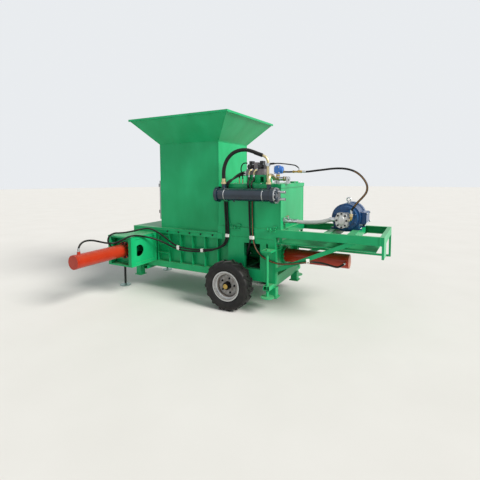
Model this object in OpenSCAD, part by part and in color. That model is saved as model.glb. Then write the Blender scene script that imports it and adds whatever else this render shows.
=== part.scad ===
// Towed horizontal baling press with two hydraulic rams, a feed hopper and a power pack.
// +X points to the power pack and the towing end, -Y to the side of the push-out ram, +Z up.

/* [Press chamber] */
// Length of the press chamber
chamber_l = 2594; // [2400:2:2800]
// Height of the press chamber over floor and top plate
chamber_h = 640; // [600:2:700]
// Width of the press chamber over its ribs
chamber_w = 986; // [900:2:1100]
// Height of the underside of the chamber above the ground
ground_gap = 400; // [395:1:460]
// Distance from the axle to the right end of the chamber
chamber_right = 630; // [560:2:700]
// Thickness of the floor and the top plate
floor_t = 30; // [20:1:40]
// Thickness of the side walls
wall_t = 15; // [10:1:20]
// Thickness of the end walls
end_t = 24; // [16:1:40]
// Depth of the ribs and rails on the side walls
rib_d = 63; // [40:1:80]
// Thickness of a rib
rib_t = 12; // [8:1:20]
// Number of ribs on a side
rib_n = 6; // [4:1:8]
// Distance between ribs
rib_pitch = 228; // [180:1:240]
// Distance from the bale bay to the first rib
rib_start = 37; // [20:1:60]
// Height of the bottom rail
bottom_rail_h = 97; // [70:1:120]
// Height of the rail under the top plate
top_rail_h = 54; // [40:1:70]
// Length of the bay where the bale is made
bay_l = 489; // [440:1:520]
// Length of the cover panel beside the service opening
panel_l = 263; // [200:1:300]
// Length of the service opening
service_l = 249; // [180:1:280]
// Height of the service opening
service_h = 365; // [250:1:390]
// Height of the service opening above the bottom rail
service_up = 67; // [40:1:80]
// Length of the corner post plate
post_l = 232; // [180:1:260]
// Distance of the end wall on the right from the end of the chamber
end_recess = 60; // [30:1:100]
// Depth of the recessed panels of the push-out housing
panel_in = 12; // [4:1:16]

/* [Hopper] */
// Length of the hopper column
column_l = 1097; // [1000:1:1200]
// Width of the hopper column
column_w = 904; // [820:2:940]
// Height of the hopper column above the chamber
column_h = 1338; // [1000:2:1600]
// Distance from the bale bay to the hopper column
column_gap = 91; // [60:1:120]
// Height of the flared rim
flare_h = 373; // [250:1:450]
// Overhang of the rim along the machine
flare_x = 344; // [200:1:420]
// Overhang of the rim across the machine
flare_y = 330; // [200:1:420]
// Sheet thickness of the hopper
hopper_t = 8; // [6:1:12]
// Height of the folded lip of the rim
lip_h = 30; // [20:1:50]
// Depth of the folded lip of the rim
lip_d = 24; // [15:1:40]

/* [Push-out ram] */
// Length of the push-out housing outside the chamber
eject_l = 548; // [480:1:640]
// Thickness of the housing walls
eject_t = 24; // [12:1:30]
// Diameter of the sight hole in the housing
sight_d = 180; // [120:1:220]
// Distance of the sight hole from the outer end of the housing
sight_in = 181; // [130:1:220]
// Distance of the cylinder plate from the outer end of the housing
eject_plate_in = 111; // [80:1:160]
// Reach of the cylinder beyond the outer end of the housing
eject_reach = 796; // [700:1:900]
// Stroke of the push-out ram
eject_stroke = 900; // [700:1:940]

/* [Press ram] */
// Outside diameter of both cylinders
barrel_d = 196; // [170:1:206]
// Inside diameter of both cylinders
bore_d = 160; // [130:1:164]
// Diameter of both piston rods
rod_d = 90; // [60:1:100]
// Reach of the press cylinder beyond the end wall
press_reach = 880; // [700:1:900]
// Height of the press cylinder's axis above the underside of the chamber
press_axis_up = 300; // [290:1:340]
// Distance of the retracted press platen's face from the hopper column
platen_back = 7; // [5:1:30]
// Length of the press platen's carriage
carriage_l = 280; // [240:1:300]
// Thickness of the platens
platen_t = 40; // [25:1:50]
// Gap round the platens
platen_gap = 5; // [5:1:10]
// Bare length of the press rod at rest
press_bare = 150; // [100:1:170]
// Bare length of the push-out rod at rest
eject_bare = 100; // [80:1:160]
// Radial clearance of the rods and the pistons
rod_gap = 0.5; // [0.2:0.1:1]
// Length of the glands and of the pistons
gland_l = 60; // [40:1:80]
// Thickness of the cylinder flanges and caps
flange_t = 24; // [16:1:40]
// Diameter of the cylinder flanges
flange_d = 260; // [230:1:300]

/* [Wheels] */
// Outside diameter of a tyre
tyre_d = 700; // [640:2:780]
// Width of a tyre
tyre_w = 215; // [180:1:250]
// Diameter of the rim where the tyre sits
rim_d = 380; // [340:1:400]
// Diameter of the rim flanges
rim_flange_d = 418; // [400:1:440]
// Distance between the middles of the tyres
track = 1357; // [1300:1:1450]
// Height of the tread lugs
tread_h = 16; // [10:1:24]
// Number of tread lugs on each side of a tyre
tread_n = 16; // [12:1:20]
// Side of the square axle beam
axle_sq = 80; // [60:1:100]
// Diameter of a wheel spindle
spindle_d = 60; // [45:1:70]
// Radial clearance of the spindles in the hubs
hub_gap = 0.05; // [0.02:0.01:0.1]

/* [Legs and jacks] */
// Side of a fixed leg
leg_sq = 100; // [80:1:120]
// Height of the feet of the fixed legs above the ground
leg_up = 200; // [150:1:260]
// Thickness of a foot plate
foot_t = 12; // [8:1:20]
// Margin of a foot plate round its leg
foot_margin = 20; // [10:1:40]
// Diameter of a jack's screw
screw_d = 40; // [30:1:50]
// Length of a jack's screw
screw_l = 660; // [560:1:700]
// Diameter of a jack's disc
disc_d = 180; // [140:1:220]
// Thickness of a jack's disc
disc_t = 14; // [10:1:20]
// Distance of the right jacks from the chamber's sides
jack_out = 120; // [118:1:140]
// Distance of the right jacks from the right end of the chamber
jack_right_in = 71; // [60:1:90]
// Distance of the left jacks from the left end of the chamber
jack_left_out = 172; // [120:1:240]
// Distance of the left jacks from the chamber's sides
jack_left_side = 58; // [50:1:120]
// Height of the discs of the right jacks above the ground
jack_right_up = 238; // [100:1:280]
// Height of the nuts of the right jacks
nut_right_z = 852; // [700:1:870]
// Height of the nuts of the left jacks
nut_left_z = 500; // [450:1:600]
// Thickness of a jack's nut plate
nut_t = 25; // [20:1:50]

/* [Platform] */
// Reach of the platform beyond the chamber
platform_l = 1355; // [1200:1:1500]
// Height of the platform's beams
beam_h = 103; // [80:1:120]
// Flange width of the platform's beams
beam_b = 50; // [40:1:60]
// Web and flange thickness of the platform's beams
beam_t = 8; // [6:1:10]
// Depth of the drip plate under the platform
plate_down = 76; // [50:1:100]
// Thickness of the drip plate
plate_t = 10; // [6:1:14]
// Distance of the drip plate from the end of the platform
plate_in = 88; // [50:1:120]
// Width of the end beam
end_beam_b = 50; // [40:1:60]
// Thickness of the towing plate
tow_t = 26; // [16:1:40]
// Width of the towing plate
tow_w = 260; // [200:1:320]
// Length of the towing plate below the end beam
tow_h = 160; // [120:1:220]
// Length of the end bar on the far side below the end beam
bar_h = 319; // [200:1:340]
// Side of the end bar and of the rail at its foot
bar_sq = 28; // [20:1:40]

/* [Power pack] */
// Length of the oil tank
tank_l = 885; // [700:1:900]
// Width of the oil tank
tank_w = 960; // [800:1:980]
// Height of the oil tank
tank_h = 606; // [500:1:700]
// Distance of the tank from the hopper column
tank_gap = 97; // [60:1:140]
// Wall thickness of the oil tank
tank_t = 6; // [4:1:10]
// Thickness of the tank's lid
lid_t = 10; // [6:1:14]
// Overhang of the tank's lid
lid_over = 12; // [6:1:20]
// Diameter of the oil cooler
cooler_d = 174; // [140:1:190]
// Length of the oil cooler
cooler_l = 933; // [800:1:1050]
// Gap between the oil cooler and the tank
cooler_gap = 23; // [22:1:40]
// Depth of the cooler's axis below the tank's lid
cooler_down = 137; // [110:1:200]
// Diameter of the hoses to the rams
hose_d = 26; // [20:1:28]
// Diameter of the return hose
return_d = 52; // [30:1:56]
// Diameter of the suction hose
suction_d = 52; // [40:1:56]
// Diameter of the pilot hose
pilot_d = 16; // [10:1:20]
// Diameter of the motor over its fins
motor_d = 376; // [300:1:380]
// Length of the motor
motor_l = 498; // [400:1:520]
// Height of the motor's shaft above the platform
shaft_h = 162; // [162:1:220]
// Distance of the motor's axis from the end of the platform
motor_in = 522; // [450:1:600]

/* [Control cabinet] */
// Depth of the control cabinet
cabinet_d = 250; // [180:1:300]
// Width of the control cabinet
cabinet_w = 500; // [400:1:600]
// Height of the control cabinet
cabinet_h = 660; // [500:1:800]
// Height of the control cabinet above the chamber
cabinet_up = 95; // [60:1:200]
// Thickness of the cabinet's door
door_t = 20; // [14:1:30]

/* [Bale door] */
// Thickness of the bale door
gate_t = 40; // [30:1:50]
// Overlap of the bale door round the outlet
gate_over = 24; // [16:1:24]

/* [Hidden] */
// Which node is drawn
$fn = 64;
// A cut runs past the face it opens by this much
e = 1;

// Chamber
x1 = chamber_right;
x0 = x1 - chamber_l;
z0 = ground_gap;
z1 = z0 + chamber_h;
y_out = chamber_w / 2;
y_wall = y_out - rib_d;
y_in = y_wall - wall_t;
z_in0 = z0 + floor_t;
z_in1 = z1 - floor_t;
bay_x0 = x0 + end_t;
bay_x1 = x0 + bay_l;
rail_z = z0 + bottom_rail_h;
top_rail_z = z_in1 - top_rail_h;
post_x = x1 - post_l;
service_x = post_x - service_l;
panel_x = service_x - panel_l;
service_z = rail_z + service_up;

// Hopper
col_x0 = bay_x1 + column_gap;
col_x1 = col_x0 + column_l;
col_y = column_w / 2;
col_z = z1 + column_h;
rim_z = col_z + flare_h;

// Push-out ram
ej_y0 = -y_out - eject_l;
ej_z0 = rail_z;
ej_z1 = top_rail_z;
ej_x = (x0 + bay_x1) / 2;
ej_z = (ej_z0 + ej_z1) / 2;
ej_plate_y = ej_y0 + eject_plate_in;
ej_cap_y = ej_y0 - eject_reach;
ej_face_y = -y_in - platen_gap;
ej_carriage = 60;
ej_back_y = ej_face_y - platen_t - ej_carriage;
ej_front_y = ej_back_y - eject_bare + ej_carriage;

// Press ram
end_x = x1 - end_recess;
pr_z = z0 + press_axis_up;
pr_face_x = col_x1 + platen_back;
pr_back_x = pr_face_x + platen_t;
pr_front_x = pr_back_x + press_bare;
pr_cap_x = x1 + press_reach;
press_stroke = pr_face_x - bay_x1 - platen_gap;

// Platform
plat_x1 = x1 + platform_l;
beam_z1 = z1 + beam_h;
beam_x0 = col_x1 + 2;
tank_x0 = col_x1 + tank_gap;
tank_x1 = tank_x0 + tank_l;
tank_y = tank_w / 2;
tank_z1 = beam_z1 + tank_h;
lid_z1 = tank_z1 + lid_t;
cooler_y = -tank_y - lid_over - cooler_gap - cooler_d / 2;
cooler_z = tank_z1 - cooler_down;
cooler_x0 = tank_x0 - 35;
port_xl = cooler_x0 + 114;
port_xr = cooler_x0 + 801;
motor_x = plat_x1 - motor_in;
shaft_z = beam_z1 + shaft_h;
motor_y0 = -60;

// Wheels
axle_z = tyre_d / 2;
wheel_y = track / 2;

// Jacks
jack_y = y_out + jack_out;
jack_xr = x1 - jack_right_in;
jack_xl = x0 - jack_left_out;
jack_yl = y_out + jack_left_side;

// Cabinet
cab_y0 = -200;
cab_z = z1 + cabinet_up;
cab_x1 = col_x0;
cab_x0 = cab_x1 - cabinet_d;

// The origin is under the middle of the machine's box, on the ground
box_x0 = jack_xl - disc_d / 2;
box_x1 = plat_x1;
box_y0 = ej_cap_y;
box_y1 = wheel_y + tyre_w / 2;
origin_x = (box_x0 + box_x1) / 2;
origin_y = (box_y0 + box_y1) / 2;

GREEN = "#2f9a63";
RED = "#b5301f";
DARK = "#26282a";
STEEL = "#b9bcc0";
BLUE = "#1f3f7d";
GREY = "#cfd2d3";

// A block between two corners
module block(a, b) {
  translate(a) cube(b - a);
}

// A block on both sides of the machine's middle plane
module pair_block(a, b) {
  for (s = [0, 1]) mirror([0, s, 0]) block(a, b);
}

// A round bar along X or along Y
module bar_x(x, y, z, l, d) {
  translate([x, y, z]) rotate([0, 90, 0]) cylinder(d = d, h = l);
}
module bar_y(x, y, z, l, d) {
  translate([x, y, z]) rotate([-90, 0, 0]) cylinder(d = d, h = l);
}

module chamber_floor() {
  color(GREEN) block([x0, -y_wall, z0], [x1, y_wall, z_in0]);
}

module chamber_top() {
  color(GREEN) difference() {
    block([x0, -y_out, z_in1], [x1, y_out, z1]);
    block([col_x0 + hopper_t, -y_in, z_in1 - e], [col_x1 - hopper_t, y_in, z1 + e]);
  }
}

// A side wall; the bay's opening is given by its lowest and highest edge
module wall(low, high, left) {
  difference() {
    block([x0, y_in, z_in0], [x1, y_wall, z_in1]);
    block([left, y_in - e, low], [bay_x1 - (left - x0), y_wall + e, high]);
    block([service_x, y_in - e, service_z], [post_x, y_wall + e, service_z + service_h]);
  }
}
module wall_near() {
  color(GREEN) mirror([0, 1, 0]) wall(ej_z0 + eject_t, ej_z1 - eject_t, x0 + eject_t);
}
module wall_far() {
  color(GREEN) difference() {
    block([x0, y_in, z_in0], [x1, y_wall, z_in1]);
    block([bay_x0, y_in - e, z_in0 - e], [bay_x1, y_wall + e, z_in1 + e]);
    block([service_x, y_in - e, service_z], [post_x, y_wall + e, service_z + service_h]);
  }
}

module end_wall_left() {
  color(GREEN) block([x0, -y_in, z_in0], [x0 + end_t, y_in, z_in1]);
}
// The end wall lies back from the end, with a cross beam in front of its foot
module end_wall_right() {
  color(GREEN) difference() {
    union() {
      block([end_x - end_t, -y_in, z_in0], [end_x, y_in, z_in1]);
      block([end_x, -y_in, z_in0], [x1, y_in, rail_z]);
    }
    bar_x(end_x - end_t - e, 0, pr_z, end_t + 2 * e, barrel_d + 1);
  }
}

// Heights of the stiffeners between the first two ribs, above the underside of the chamber
STIFFENERS = [229, 369, 508];
// Slot in the corner post plate above the jack's nut plate
slot_x = x1 - 139;
slot_b = 24;
slot_h = 62;

// Rails, ribs and cover plates on the outside of a side wall, from a given left end
module side_frame(left) {
  block([left, y_wall, z0], [x1, y_out, rail_z]);
  block([left, y_wall, top_rail_z], [x1, y_out, z_in1]);
  for (i = [0 : rib_n - 1]) {
    x = bay_x1 + rib_start + i * rib_pitch;
    block([x - rib_t / 2, y_wall, rail_z], [x + rib_t / 2, y_out, top_rail_z]);
  }
  first = bay_x1 + rib_start;
  for (h = STIFFENERS)
    block([first + rib_t / 2, y_out - rib_d / 2, z0 + h],
          [first + rib_pitch - rib_t / 2, y_out, z0 + h + rib_t]);
  difference() {
    block([panel_x, y_out - rib_t, rail_z], [x1, y_out, top_rail_z]);
    block([service_x, y_out - rib_t - e, service_z], [post_x, y_out + e, service_z + service_h]);
    block([slot_x, y_out - rib_t - e, nut_right_z + nut_t],
          [slot_x + slot_b, y_out + e, nut_right_z + nut_t + slot_h]);
  }
  for (x = [panel_x, service_x - rib_t, post_x, x1 - rib_t])
    block([x, y_wall, rail_z], [x + rib_t, y_out - rib_t, top_rail_z]);
}
module side_frame_near() {
  color(GREEN) mirror([0, 1, 0]) side_frame(x0);
}
module side_frame_far() {
  color(GREEN) side_frame(bay_x1 + rib_t);
}

gate_gap = 10;
lug_t = 25;
pin_d = 20;
pin_gap = 0.25;
hinge_x = x0 - gate_t / 2;
hinge_y = y_out + gate_gap + gate_t / 2;
lug_r = gate_t / 2 - 5;
module outlet_frame() {
  color(GREEN) {
    for (z = [z_in0, z_in1 - lug_t]) {
      block([hinge_x - lug_r, y_out, z], [x0 + end_t, y_out + gate_gap / 2, z + lug_t]);
      block([hinge_x - lug_r, y_out, z], [hinge_x + lug_r, hinge_y, z + lug_t]);
      translate([hinge_x, hinge_y, z]) cylinder(r = lug_r, h = lug_t);
    }
    translate([hinge_x, hinge_y, z_in0]) cylinder(d = pin_d, h = z_in1 - z_in0);
    block([x0, y_wall, z0], [x0 + end_t, y_out, z_in1]);
    block([x0 + end_t, y_wall, z0], [bay_x1 + rib_t, y_out, z_in0]);
    block([bay_x1, y_wall, z_in0], [bay_x1 + rib_t, y_out, z_in1]);
  }
}

// The bale door hangs on a pin at the left edge of the outlet and swings out
module outlet_door() {
  a = z_in0 + lug_t + gate_gap / 2;
  b = z_in1 - lug_t - gate_gap / 2;
  color(GREEN) difference() {
    union() {
      block([x0, y_out + gate_gap, z_in0], [bay_x1 + gate_over, y_out + gate_gap + gate_t, z_in1]);
      translate([hinge_x, hinge_y, a]) cylinder(d = gate_t, h = b - a);
      block([hinge_x, hinge_y, a], [x0, hinge_y + gate_t / 2, b]);
    }
    translate([hinge_x, hinge_y, a - e]) cylinder(d = pin_d + 2 * pin_gap, h = b - a + 2 * e);
  }
}

// The housing is an open box: an end frame of posts and rails, and recessed side panels
end_post_b = 60;
end_post_l = 95;
module eject_housing() {
  ix0 = x0 + eject_t;
  ix1 = bay_x1 - eject_t;
  iz0 = ej_z0 + eject_t;
  iz1 = ej_z1 - eject_t;
  frame_y = ej_y0 + end_post_l;
  rail = 2 * eject_t;
  color(GREEN) {
    difference() {
      block([x0, ej_y0, ej_z0], [bay_x1, -y_wall, ej_z1]);
      block([ix0, frame_y, iz0], [ix1, -y_wall + e, iz1]);
      block([x0 + end_post_b, ej_y0 - e, iz0], [bay_x1 - end_post_b, frame_y + e, iz1]);
      for (x = [[x0 - e, x0 + panel_in], [bay_x1 - panel_in, bay_x1 + e]])
        block([x[0], frame_y, ej_z0 + rail], [x[1], -y_out - rail, ej_z1 - rail]);
      bar_x(bay_x1 - end_post_b - e, ej_y0 + sight_in, ej_z, end_post_b + 2 * e, sight_d);
    }
    difference() {
      block([ix0, ej_plate_y, iz0], [ix1, ej_plate_y + eject_t, iz1]);
      bar_y(ej_x, ej_plate_y - e, ej_z, eject_t + 2 * e, barrel_d + 1);
    }
  }
}

// A cylinder barrel along +X from its cap, with its flange at a distance from the cap
module barrel(l, flange_at) {
  difference() {
    union() {
      rotate([0, 90, 0]) cylinder(d = barrel_d, h = l);
      translate([flange_at, 0, 0]) rotate([0, 90, 0]) cylinder(d = flange_d, h = flange_t);
    }
    translate([flange_t, 0, 0]) rotate([0, 90, 0]) cylinder(d = bore_d, h = l - flange_t - gland_l);
    translate([l - gland_l - e, 0, 0]) rotate([0, 90, 0])
      cylinder(d = rod_d + 2 * rod_gap, h = gland_l + 2 * e);
  }
}

// A rod along +X with its piston at the start
module rod(l) {
  rotate([0, 90, 0]) cylinder(d = rod_d, h = l);
  rotate([0, 90, 0]) cylinder(d = bore_d - 2 * rod_gap, h = gland_l);
}

piston_back = 60;
// A port boss stands on the barrel; its face is boss_h off the barrel's middle
boss_d = 44;
boss_h = barrel_d / 2 + 32;
eject_port_y = ej_cap_y + 90;
eject_rod_port_y = ej_y0 + 41;
module eject_barrel() {
  color(RED) difference() {
    union() {
      translate([ej_x, ej_cap_y, ej_z]) rotate([0, 0, 90])
        barrel(ej_front_y - ej_cap_y, ej_plate_y - ej_cap_y - flange_t);
      translate([ej_x, eject_port_y, ej_z]) cylinder(d = boss_d, h = boss_h);
      bar_x(ej_x - boss_h, eject_rod_port_y, ej_z, boss_h, boss_d);
    }
    bar_y(ej_x, ej_cap_y + flange_t, ej_z, ej_front_y - gland_l - ej_cap_y - flange_t, bore_d);
  }
}
module eject_rod() {
  color(STEEL) translate([ej_x, ej_cap_y + piston_back, ej_z]) rotate([0, 0, 90])
    rod(ej_face_y - platen_t - ej_cap_y - piston_back);
}
module eject_platen() {
  color(GREEN) difference() {
    block([x0 + eject_t + platen_gap, ej_back_y, ej_z0 + eject_t + platen_gap],
          [bay_x1 - eject_t - platen_gap, ej_face_y, ej_z1 - eject_t - platen_gap]);
    block([x0 + 3 * eject_t, ej_back_y - e, ej_z0 + 3 * eject_t],
          [bay_x1 - 3 * eject_t, ej_face_y - platen_t, ej_z1 - 3 * eject_t]);
  }
}

press_port_x = pr_cap_x - 36;
press_rod_port_x = x1 - 560;
module press_barrel() {
  color(RED) difference() {
    union() {
      translate([pr_cap_x, 0, pr_z]) rotate([0, 0, 180])
        barrel(pr_cap_x - pr_front_x, pr_cap_x - end_x - flange_t);
      for (x = [press_port_x, press_rod_port_x])
        bar_y(x, -boss_h, pr_z, boss_h, boss_d);
    }
    bar_x(press_rod_port_x - boss_d, 0, pr_z, pr_cap_x - flange_t - press_rod_port_x + boss_d, bore_d);
  }
}
module press_rod() {
  color(STEEL) translate([pr_cap_x - piston_back, 0, pr_z]) rotate([0, 0, 180])
    rod(pr_cap_x - piston_back - pr_back_x);
}
module press_platen() {
  y = y_in - platen_gap;
  a = z_in0 + platen_gap;
  b = z_in1 - platen_gap;
  color(GREEN) difference() {
    block([pr_face_x, -y, a], [pr_face_x + carriage_l, y, b]);
    block([pr_back_x, -y + platen_t, a + platen_t], [pr_face_x + carriage_l + e, y - platen_t, b - platen_t]);
  }
}

module hopper_column() {
  color(GREEN) difference() {
    block([col_x0, -col_y, z1], [col_x1, col_y, col_z]);
    block([col_x0 + hopper_t, -col_y + hopper_t, z1 - e], [col_x1 - hopper_t, col_y - hopper_t, col_z + e]);
  }
}

// A block of the flare, from the column's top to the rim, smaller by a wall
module flare_form(wall, extra) {
  hull() {
    block([col_x0 + wall, -col_y + wall, col_z - extra], [col_x1 - wall, col_y - wall, col_z]);
    block([col_x0 - flare_x + wall, -col_y - flare_y + wall, rim_z],
          [col_x1 + flare_x - wall, col_y + flare_y - wall, rim_z + extra]);
  }
}
module hopper_flare() {
  color(GREEN) difference() {
    union() {
      difference() {
        flare_form(0, 0.01);
        block([col_x0 - flare_x, -col_y - flare_y, rim_z], [col_x1 + flare_x, col_y + flare_y, rim_z + e]);
        block([col_x0 - e, -col_y - e, col_z - e], [col_x1 + e, col_y + e, col_z]);
      }
      block([col_x0 - flare_x, -col_y - flare_y, rim_z - lip_h], [col_x1 + flare_x, col_y + flare_y, rim_z]);
    }
    flare_form(hopper_t, e);
  }
}

module cabinet_box() {
  color(GREY) difference() {
    block([cab_x0 + door_t, cab_y0, cab_z], [cab_x1, cab_y0 + cabinet_w, cab_z + cabinet_h]);
    block([cab_x0, cab_y0 + 2, cab_z + 2],
          [cab_x1 - 4, cab_y0 + cabinet_w - 2, cab_z + cabinet_h - 2]);
  }
}
module cabinet_door() {
  color(GREY) block([cab_x0, cab_y0, cab_z], [cab_x0 + door_t - 0.3, cab_y0 + cabinet_w, cab_z + cabinet_h]);
}

// A platform beam is a channel that opens inwards
module beam() {
  difference() {
    block([beam_x0, y_out - beam_b, z1], [plat_x1 - end_beam_b, y_out, beam_z1]);
    block([beam_x0 - e, y_out - beam_b - e, z1 + beam_t],
          [plat_x1 - end_beam_b + e, y_out - beam_t, beam_z1 - beam_t]);
  }
}
module beam_near() {
  color(GREEN) mirror([0, 1, 0]) beam();
}
module beam_far() {
  color(GREEN) beam();
}

// Cross members: where the middle is, and width; the first is under the tank
CROSS_MEMBERS = [[tank_x1, 60], [plat_x1 - 675, 80], [plat_x1 - 385, 80]];
module platform_cross() {
  color(GREEN) for (c = CROSS_MEMBERS)
    block([c[0] - c[1] / 2, -y_out + beam_b, z1], [c[0] + c[1] / 2, y_out - beam_b, beam_z1]);
}

// The end beam carries the towing plate on the near side and a bar with a rail at its foot on the far side
module tow_frame() {
  a = plat_x1 - end_beam_b;
  foot = z1 - bar_h;
  color(GREEN) {
    block([a, -y_out, z1], [plat_x1, y_out, beam_z1]);
    block([plat_x1 - tow_t, -y_out, z1 - tow_h], [plat_x1, -y_out + tow_w, z1]);
    block([plat_x1 - bar_sq, y_out - bar_sq, foot], [plat_x1, y_out, z1]);
    block([x1, y_out - rib_t - bar_sq, foot], [plat_x1 - bar_sq, y_out - rib_t, foot + bar_sq]);
  }
}

// The drip plate hangs under the beams
HANGERS = [x1 + 35, x1 + 880];
hanger_b = 40;
module drip_plate() {
  a = x1 + 18;
  b = plat_x1 - plate_in;
  top = z1 - plate_down;
  color(GREEN) {
    block([a, -y_out + rib_t, top - plate_t], [b, y_out - rib_t, top]);
    for (x = HANGERS)
      pair_block([x, y_out - beam_b, top], [x + hanger_b, y_out - beam_b + beam_t, z1]);
  }
}

// A brace runs from the corner post up to the beam, in front of the tray's side
brace_b = 60;
brace_z = z0 + 186;
brace_l = 985;
brace_end = 65;
module brace() {
  translate([0, y_out, 0]) rotate([90, 0, 0]) linear_extrude(rib_t)
    polygon([[x1, brace_z - brace_b / 2], [x1 + brace_l + brace_end, z1], [x1 + brace_l - brace_end, z1],
             [x1, brace_z + brace_b / 2]]);
}
// A gusset plate stiffens the corner between the hopper column and the tank
gusset_l = 235;
gusset_h = 460;
gusset_t = 8;
module braces() {
  color(GREEN) {
    brace();
    mirror([0, 1, 0]) brace();
    for (s = [0, 1]) mirror([0, s, 0])
      translate([col_x1, tank_y + gusset_t, beam_z1]) rotate([90, 0, 0]) linear_extrude(gusset_t)
        polygon([[0, 0], [gusset_l, 0], [gusset_l / 3, gusset_h], [0, gusset_h]]);
  }
}

module tank() {
  color(GREEN) difference() {
    block([tank_x0, -tank_y, beam_z1], [tank_x1, tank_y, tank_z1]);
    block([tank_x0 + tank_t, -tank_y + tank_t, beam_z1 + tank_t],
          [tank_x1 - tank_t, tank_y - tank_t, tank_z1 + e]);
  }
}
// The lid's edges are folded down over the tank
skirt_h = 45;
module tank_lid() {
  color(GREEN) difference() {
    block([tank_x0 - lid_over, -tank_y - lid_over, tank_z1 - skirt_h],
          [tank_x1 + lid_over, tank_y + lid_over, lid_z1]);
    block([tank_x0, -tank_y, tank_z1 - skirt_h - e], [tank_x1, tank_y, tank_z1]);
  }
}
// The valve stack stands on a pedestal: a foot, a recessed neck and a head
ped_x = tank_x0 + 315;
ped_l = 300;
ped_h = 123;
ped_y0 = -350;
ped_y1 = -130;
ped_t = 24;
// Recesses in the neck: distance from the pedestal's left side, and width
RECESSES = [[102, 24], [210, 54]];
recess_d = 90;
module pedestal() {
  color(GREEN) difference() {
    block([ped_x, ped_y0, lid_z1], [ped_x + ped_l, ped_y1, lid_z1 + ped_h]);
    for (r = RECESSES) {
      left = ped_x + r[0];
      width = r[1];
      block([left, ped_y0 - e, lid_z1 + ped_t],
            [left + width, ped_y0 + recess_d, lid_z1 + ped_h - ped_t]);
    }
  }
}

// Valve stack: a base block, two valve bodies with a relief valve between, and black solenoids on the ends
valve_z = lid_z1 + ped_h;
valve_h = 84;
valve_l = 272;
valve_y0 = ped_y0 + 15;
valve_y1 = ped_y1 - 25;
solenoid_d = 52;
module valve_stack() {
  x = ped_x - 14;
  z = valve_z + valve_h;
  color(DARK) {
    block([x, valve_y0, valve_z], [x + valve_l, valve_y1, z]);
    for (v = [x + 8, x + 176])
      block([v, valve_y0 + 20, z], [v + 88, valve_y1 - 20, z + 62]);
    block([x + 104, valve_y0 + 30, z], [x + 168, valve_y1 - 30, z + 96]);
    for (v = [x + 52, x + 220]) {
      bar_y(v, valve_y0 - 10, z + 34, valve_y1 - valve_y0 + 20, solenoid_d);
      block([v - 22, valve_y0 + 40, z + 58], [v + 22, valve_y0 + 120, z + 112]);
    }
  }
}

// Filter pipe along the lid with an elbow to the cooler's right port, and the blue valve over it
pipe_d = 52;
pipe_z = lid_z1 + 68;
pipe_y = ped_y0 + 40;
blue_x = tank_x0 + 718;
module filter() {
  color(STEEL) {
    bar_x(blue_x - 10, pipe_y, pipe_z, 240, pipe_d);
    for (x = [blue_x + 20, blue_x + 190])
      block([x, pipe_y - 36, lid_z1], [x + 26, pipe_y + 36, pipe_z + 30]);
    translate([blue_x + 60, pipe_y, lid_z1]) cylinder(d = 44, h = pipe_z + 70 - lid_z1);
  }
}
module blue_valve() {
  color(BLUE) {
    block([blue_x + 17, pipe_y - 44, pipe_z + 70], [blue_x + 104, pipe_y + 60, pipe_z + 176]);
    bar_x(blue_x + 103, pipe_y + 8, pipe_z + 122, 27, 90);
  }
}

// The cooler is a tube with an end cap, a bolted flange, two ports on top and two water nozzles
port_d = 60;
nozzle_d = 34;
nozzle_up = 46;
nozzle_l = 100;
cooler_top = cooler_z + 145;
module cooler() {
  color(BLUE) {
    bar_x(cooler_x0 + 20, cooler_y, cooler_z, cooler_l - 80, cooler_d);
    bar_x(cooler_x0, cooler_y, cooler_z, 46, cooler_d + 42);
    bar_x(cooler_x0 + cooler_l - 80, cooler_y, cooler_z, 44, cooler_d + 42);
    bar_x(cooler_x0 + cooler_l - 40, cooler_y, cooler_z, 40, cooler_d);
    for (x = [port_xl, port_xr])
      translate([x, cooler_y, cooler_z]) cylinder(d = port_d, h = cooler_top - cooler_z);
    for (s = [-1, 1])
      bar_x(cooler_x0 + cooler_l - e, cooler_y, cooler_z + s * nozzle_up, nozzle_l, nozzle_d);
  }
}
// Saddles carry the cooler: distance from the tank's left side
SADDLES = [114, 697];
saddle_b = 40;
module cooler_saddles() {
  color(GREEN) for (x = [for (d = SADDLES) tank_x0 + d])
    difference() {
      block([x - saddle_b / 2, cooler_y, cooler_z - cooler_d / 2 - 10],
            [x + saddle_b / 2, -tank_y, cooler_z - hose_d]);
      bar_x(x - saddle_b / 2 - e, cooler_y, cooler_z, saddle_b + 2 * e, cooler_d + 0.6);
    }
}

// Motor: a finned body between two end shields, a fan cowl, feet and a terminal box
fin_n = 30;
fin_h = 12;
fin_t = 5;
shield_l = 34;
cowl_l = 96;
foot_b = 60;
foot_l = 340;
foot_x = 133;
terminal_box = [80, 300, 160];
core_d = motor_d - 32;
module motor() {
  body_y = motor_y0 + shield_l;
  body_l = motor_l - shield_l - cowl_l;
  color(BLUE) {
    bar_y(motor_x, motor_y0, shaft_z, shield_l, motor_d);
    bar_y(motor_x, body_y - e, shaft_z, body_l + 2 * e, core_d);
    for (i = [0 : fin_n - 1])
      translate([motor_x, body_y, shaft_z]) rotate([0, (i + 0.5) * 360 / fin_n, 0])
        block([core_d / 2 - e, -e, -fin_t / 2], [core_d / 2 + fin_h, body_l + e, fin_t / 2]);
    bar_y(motor_x, body_y + body_l, shaft_z, cowl_l, motor_d - 4);
    for (s = [-1, 1])
      block([motor_x + s * foot_x - foot_b / 2, motor_y0 + 20, beam_z1],
            [motor_x + s * foot_x + foot_b / 2, motor_y0 + 20 + foot_l, shaft_z - 70]);
    translate([motor_x + motor_d / 2 - 31, motor_y0 + 90, shaft_z - 90]) cube(terminal_box);
  }
}
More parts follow.
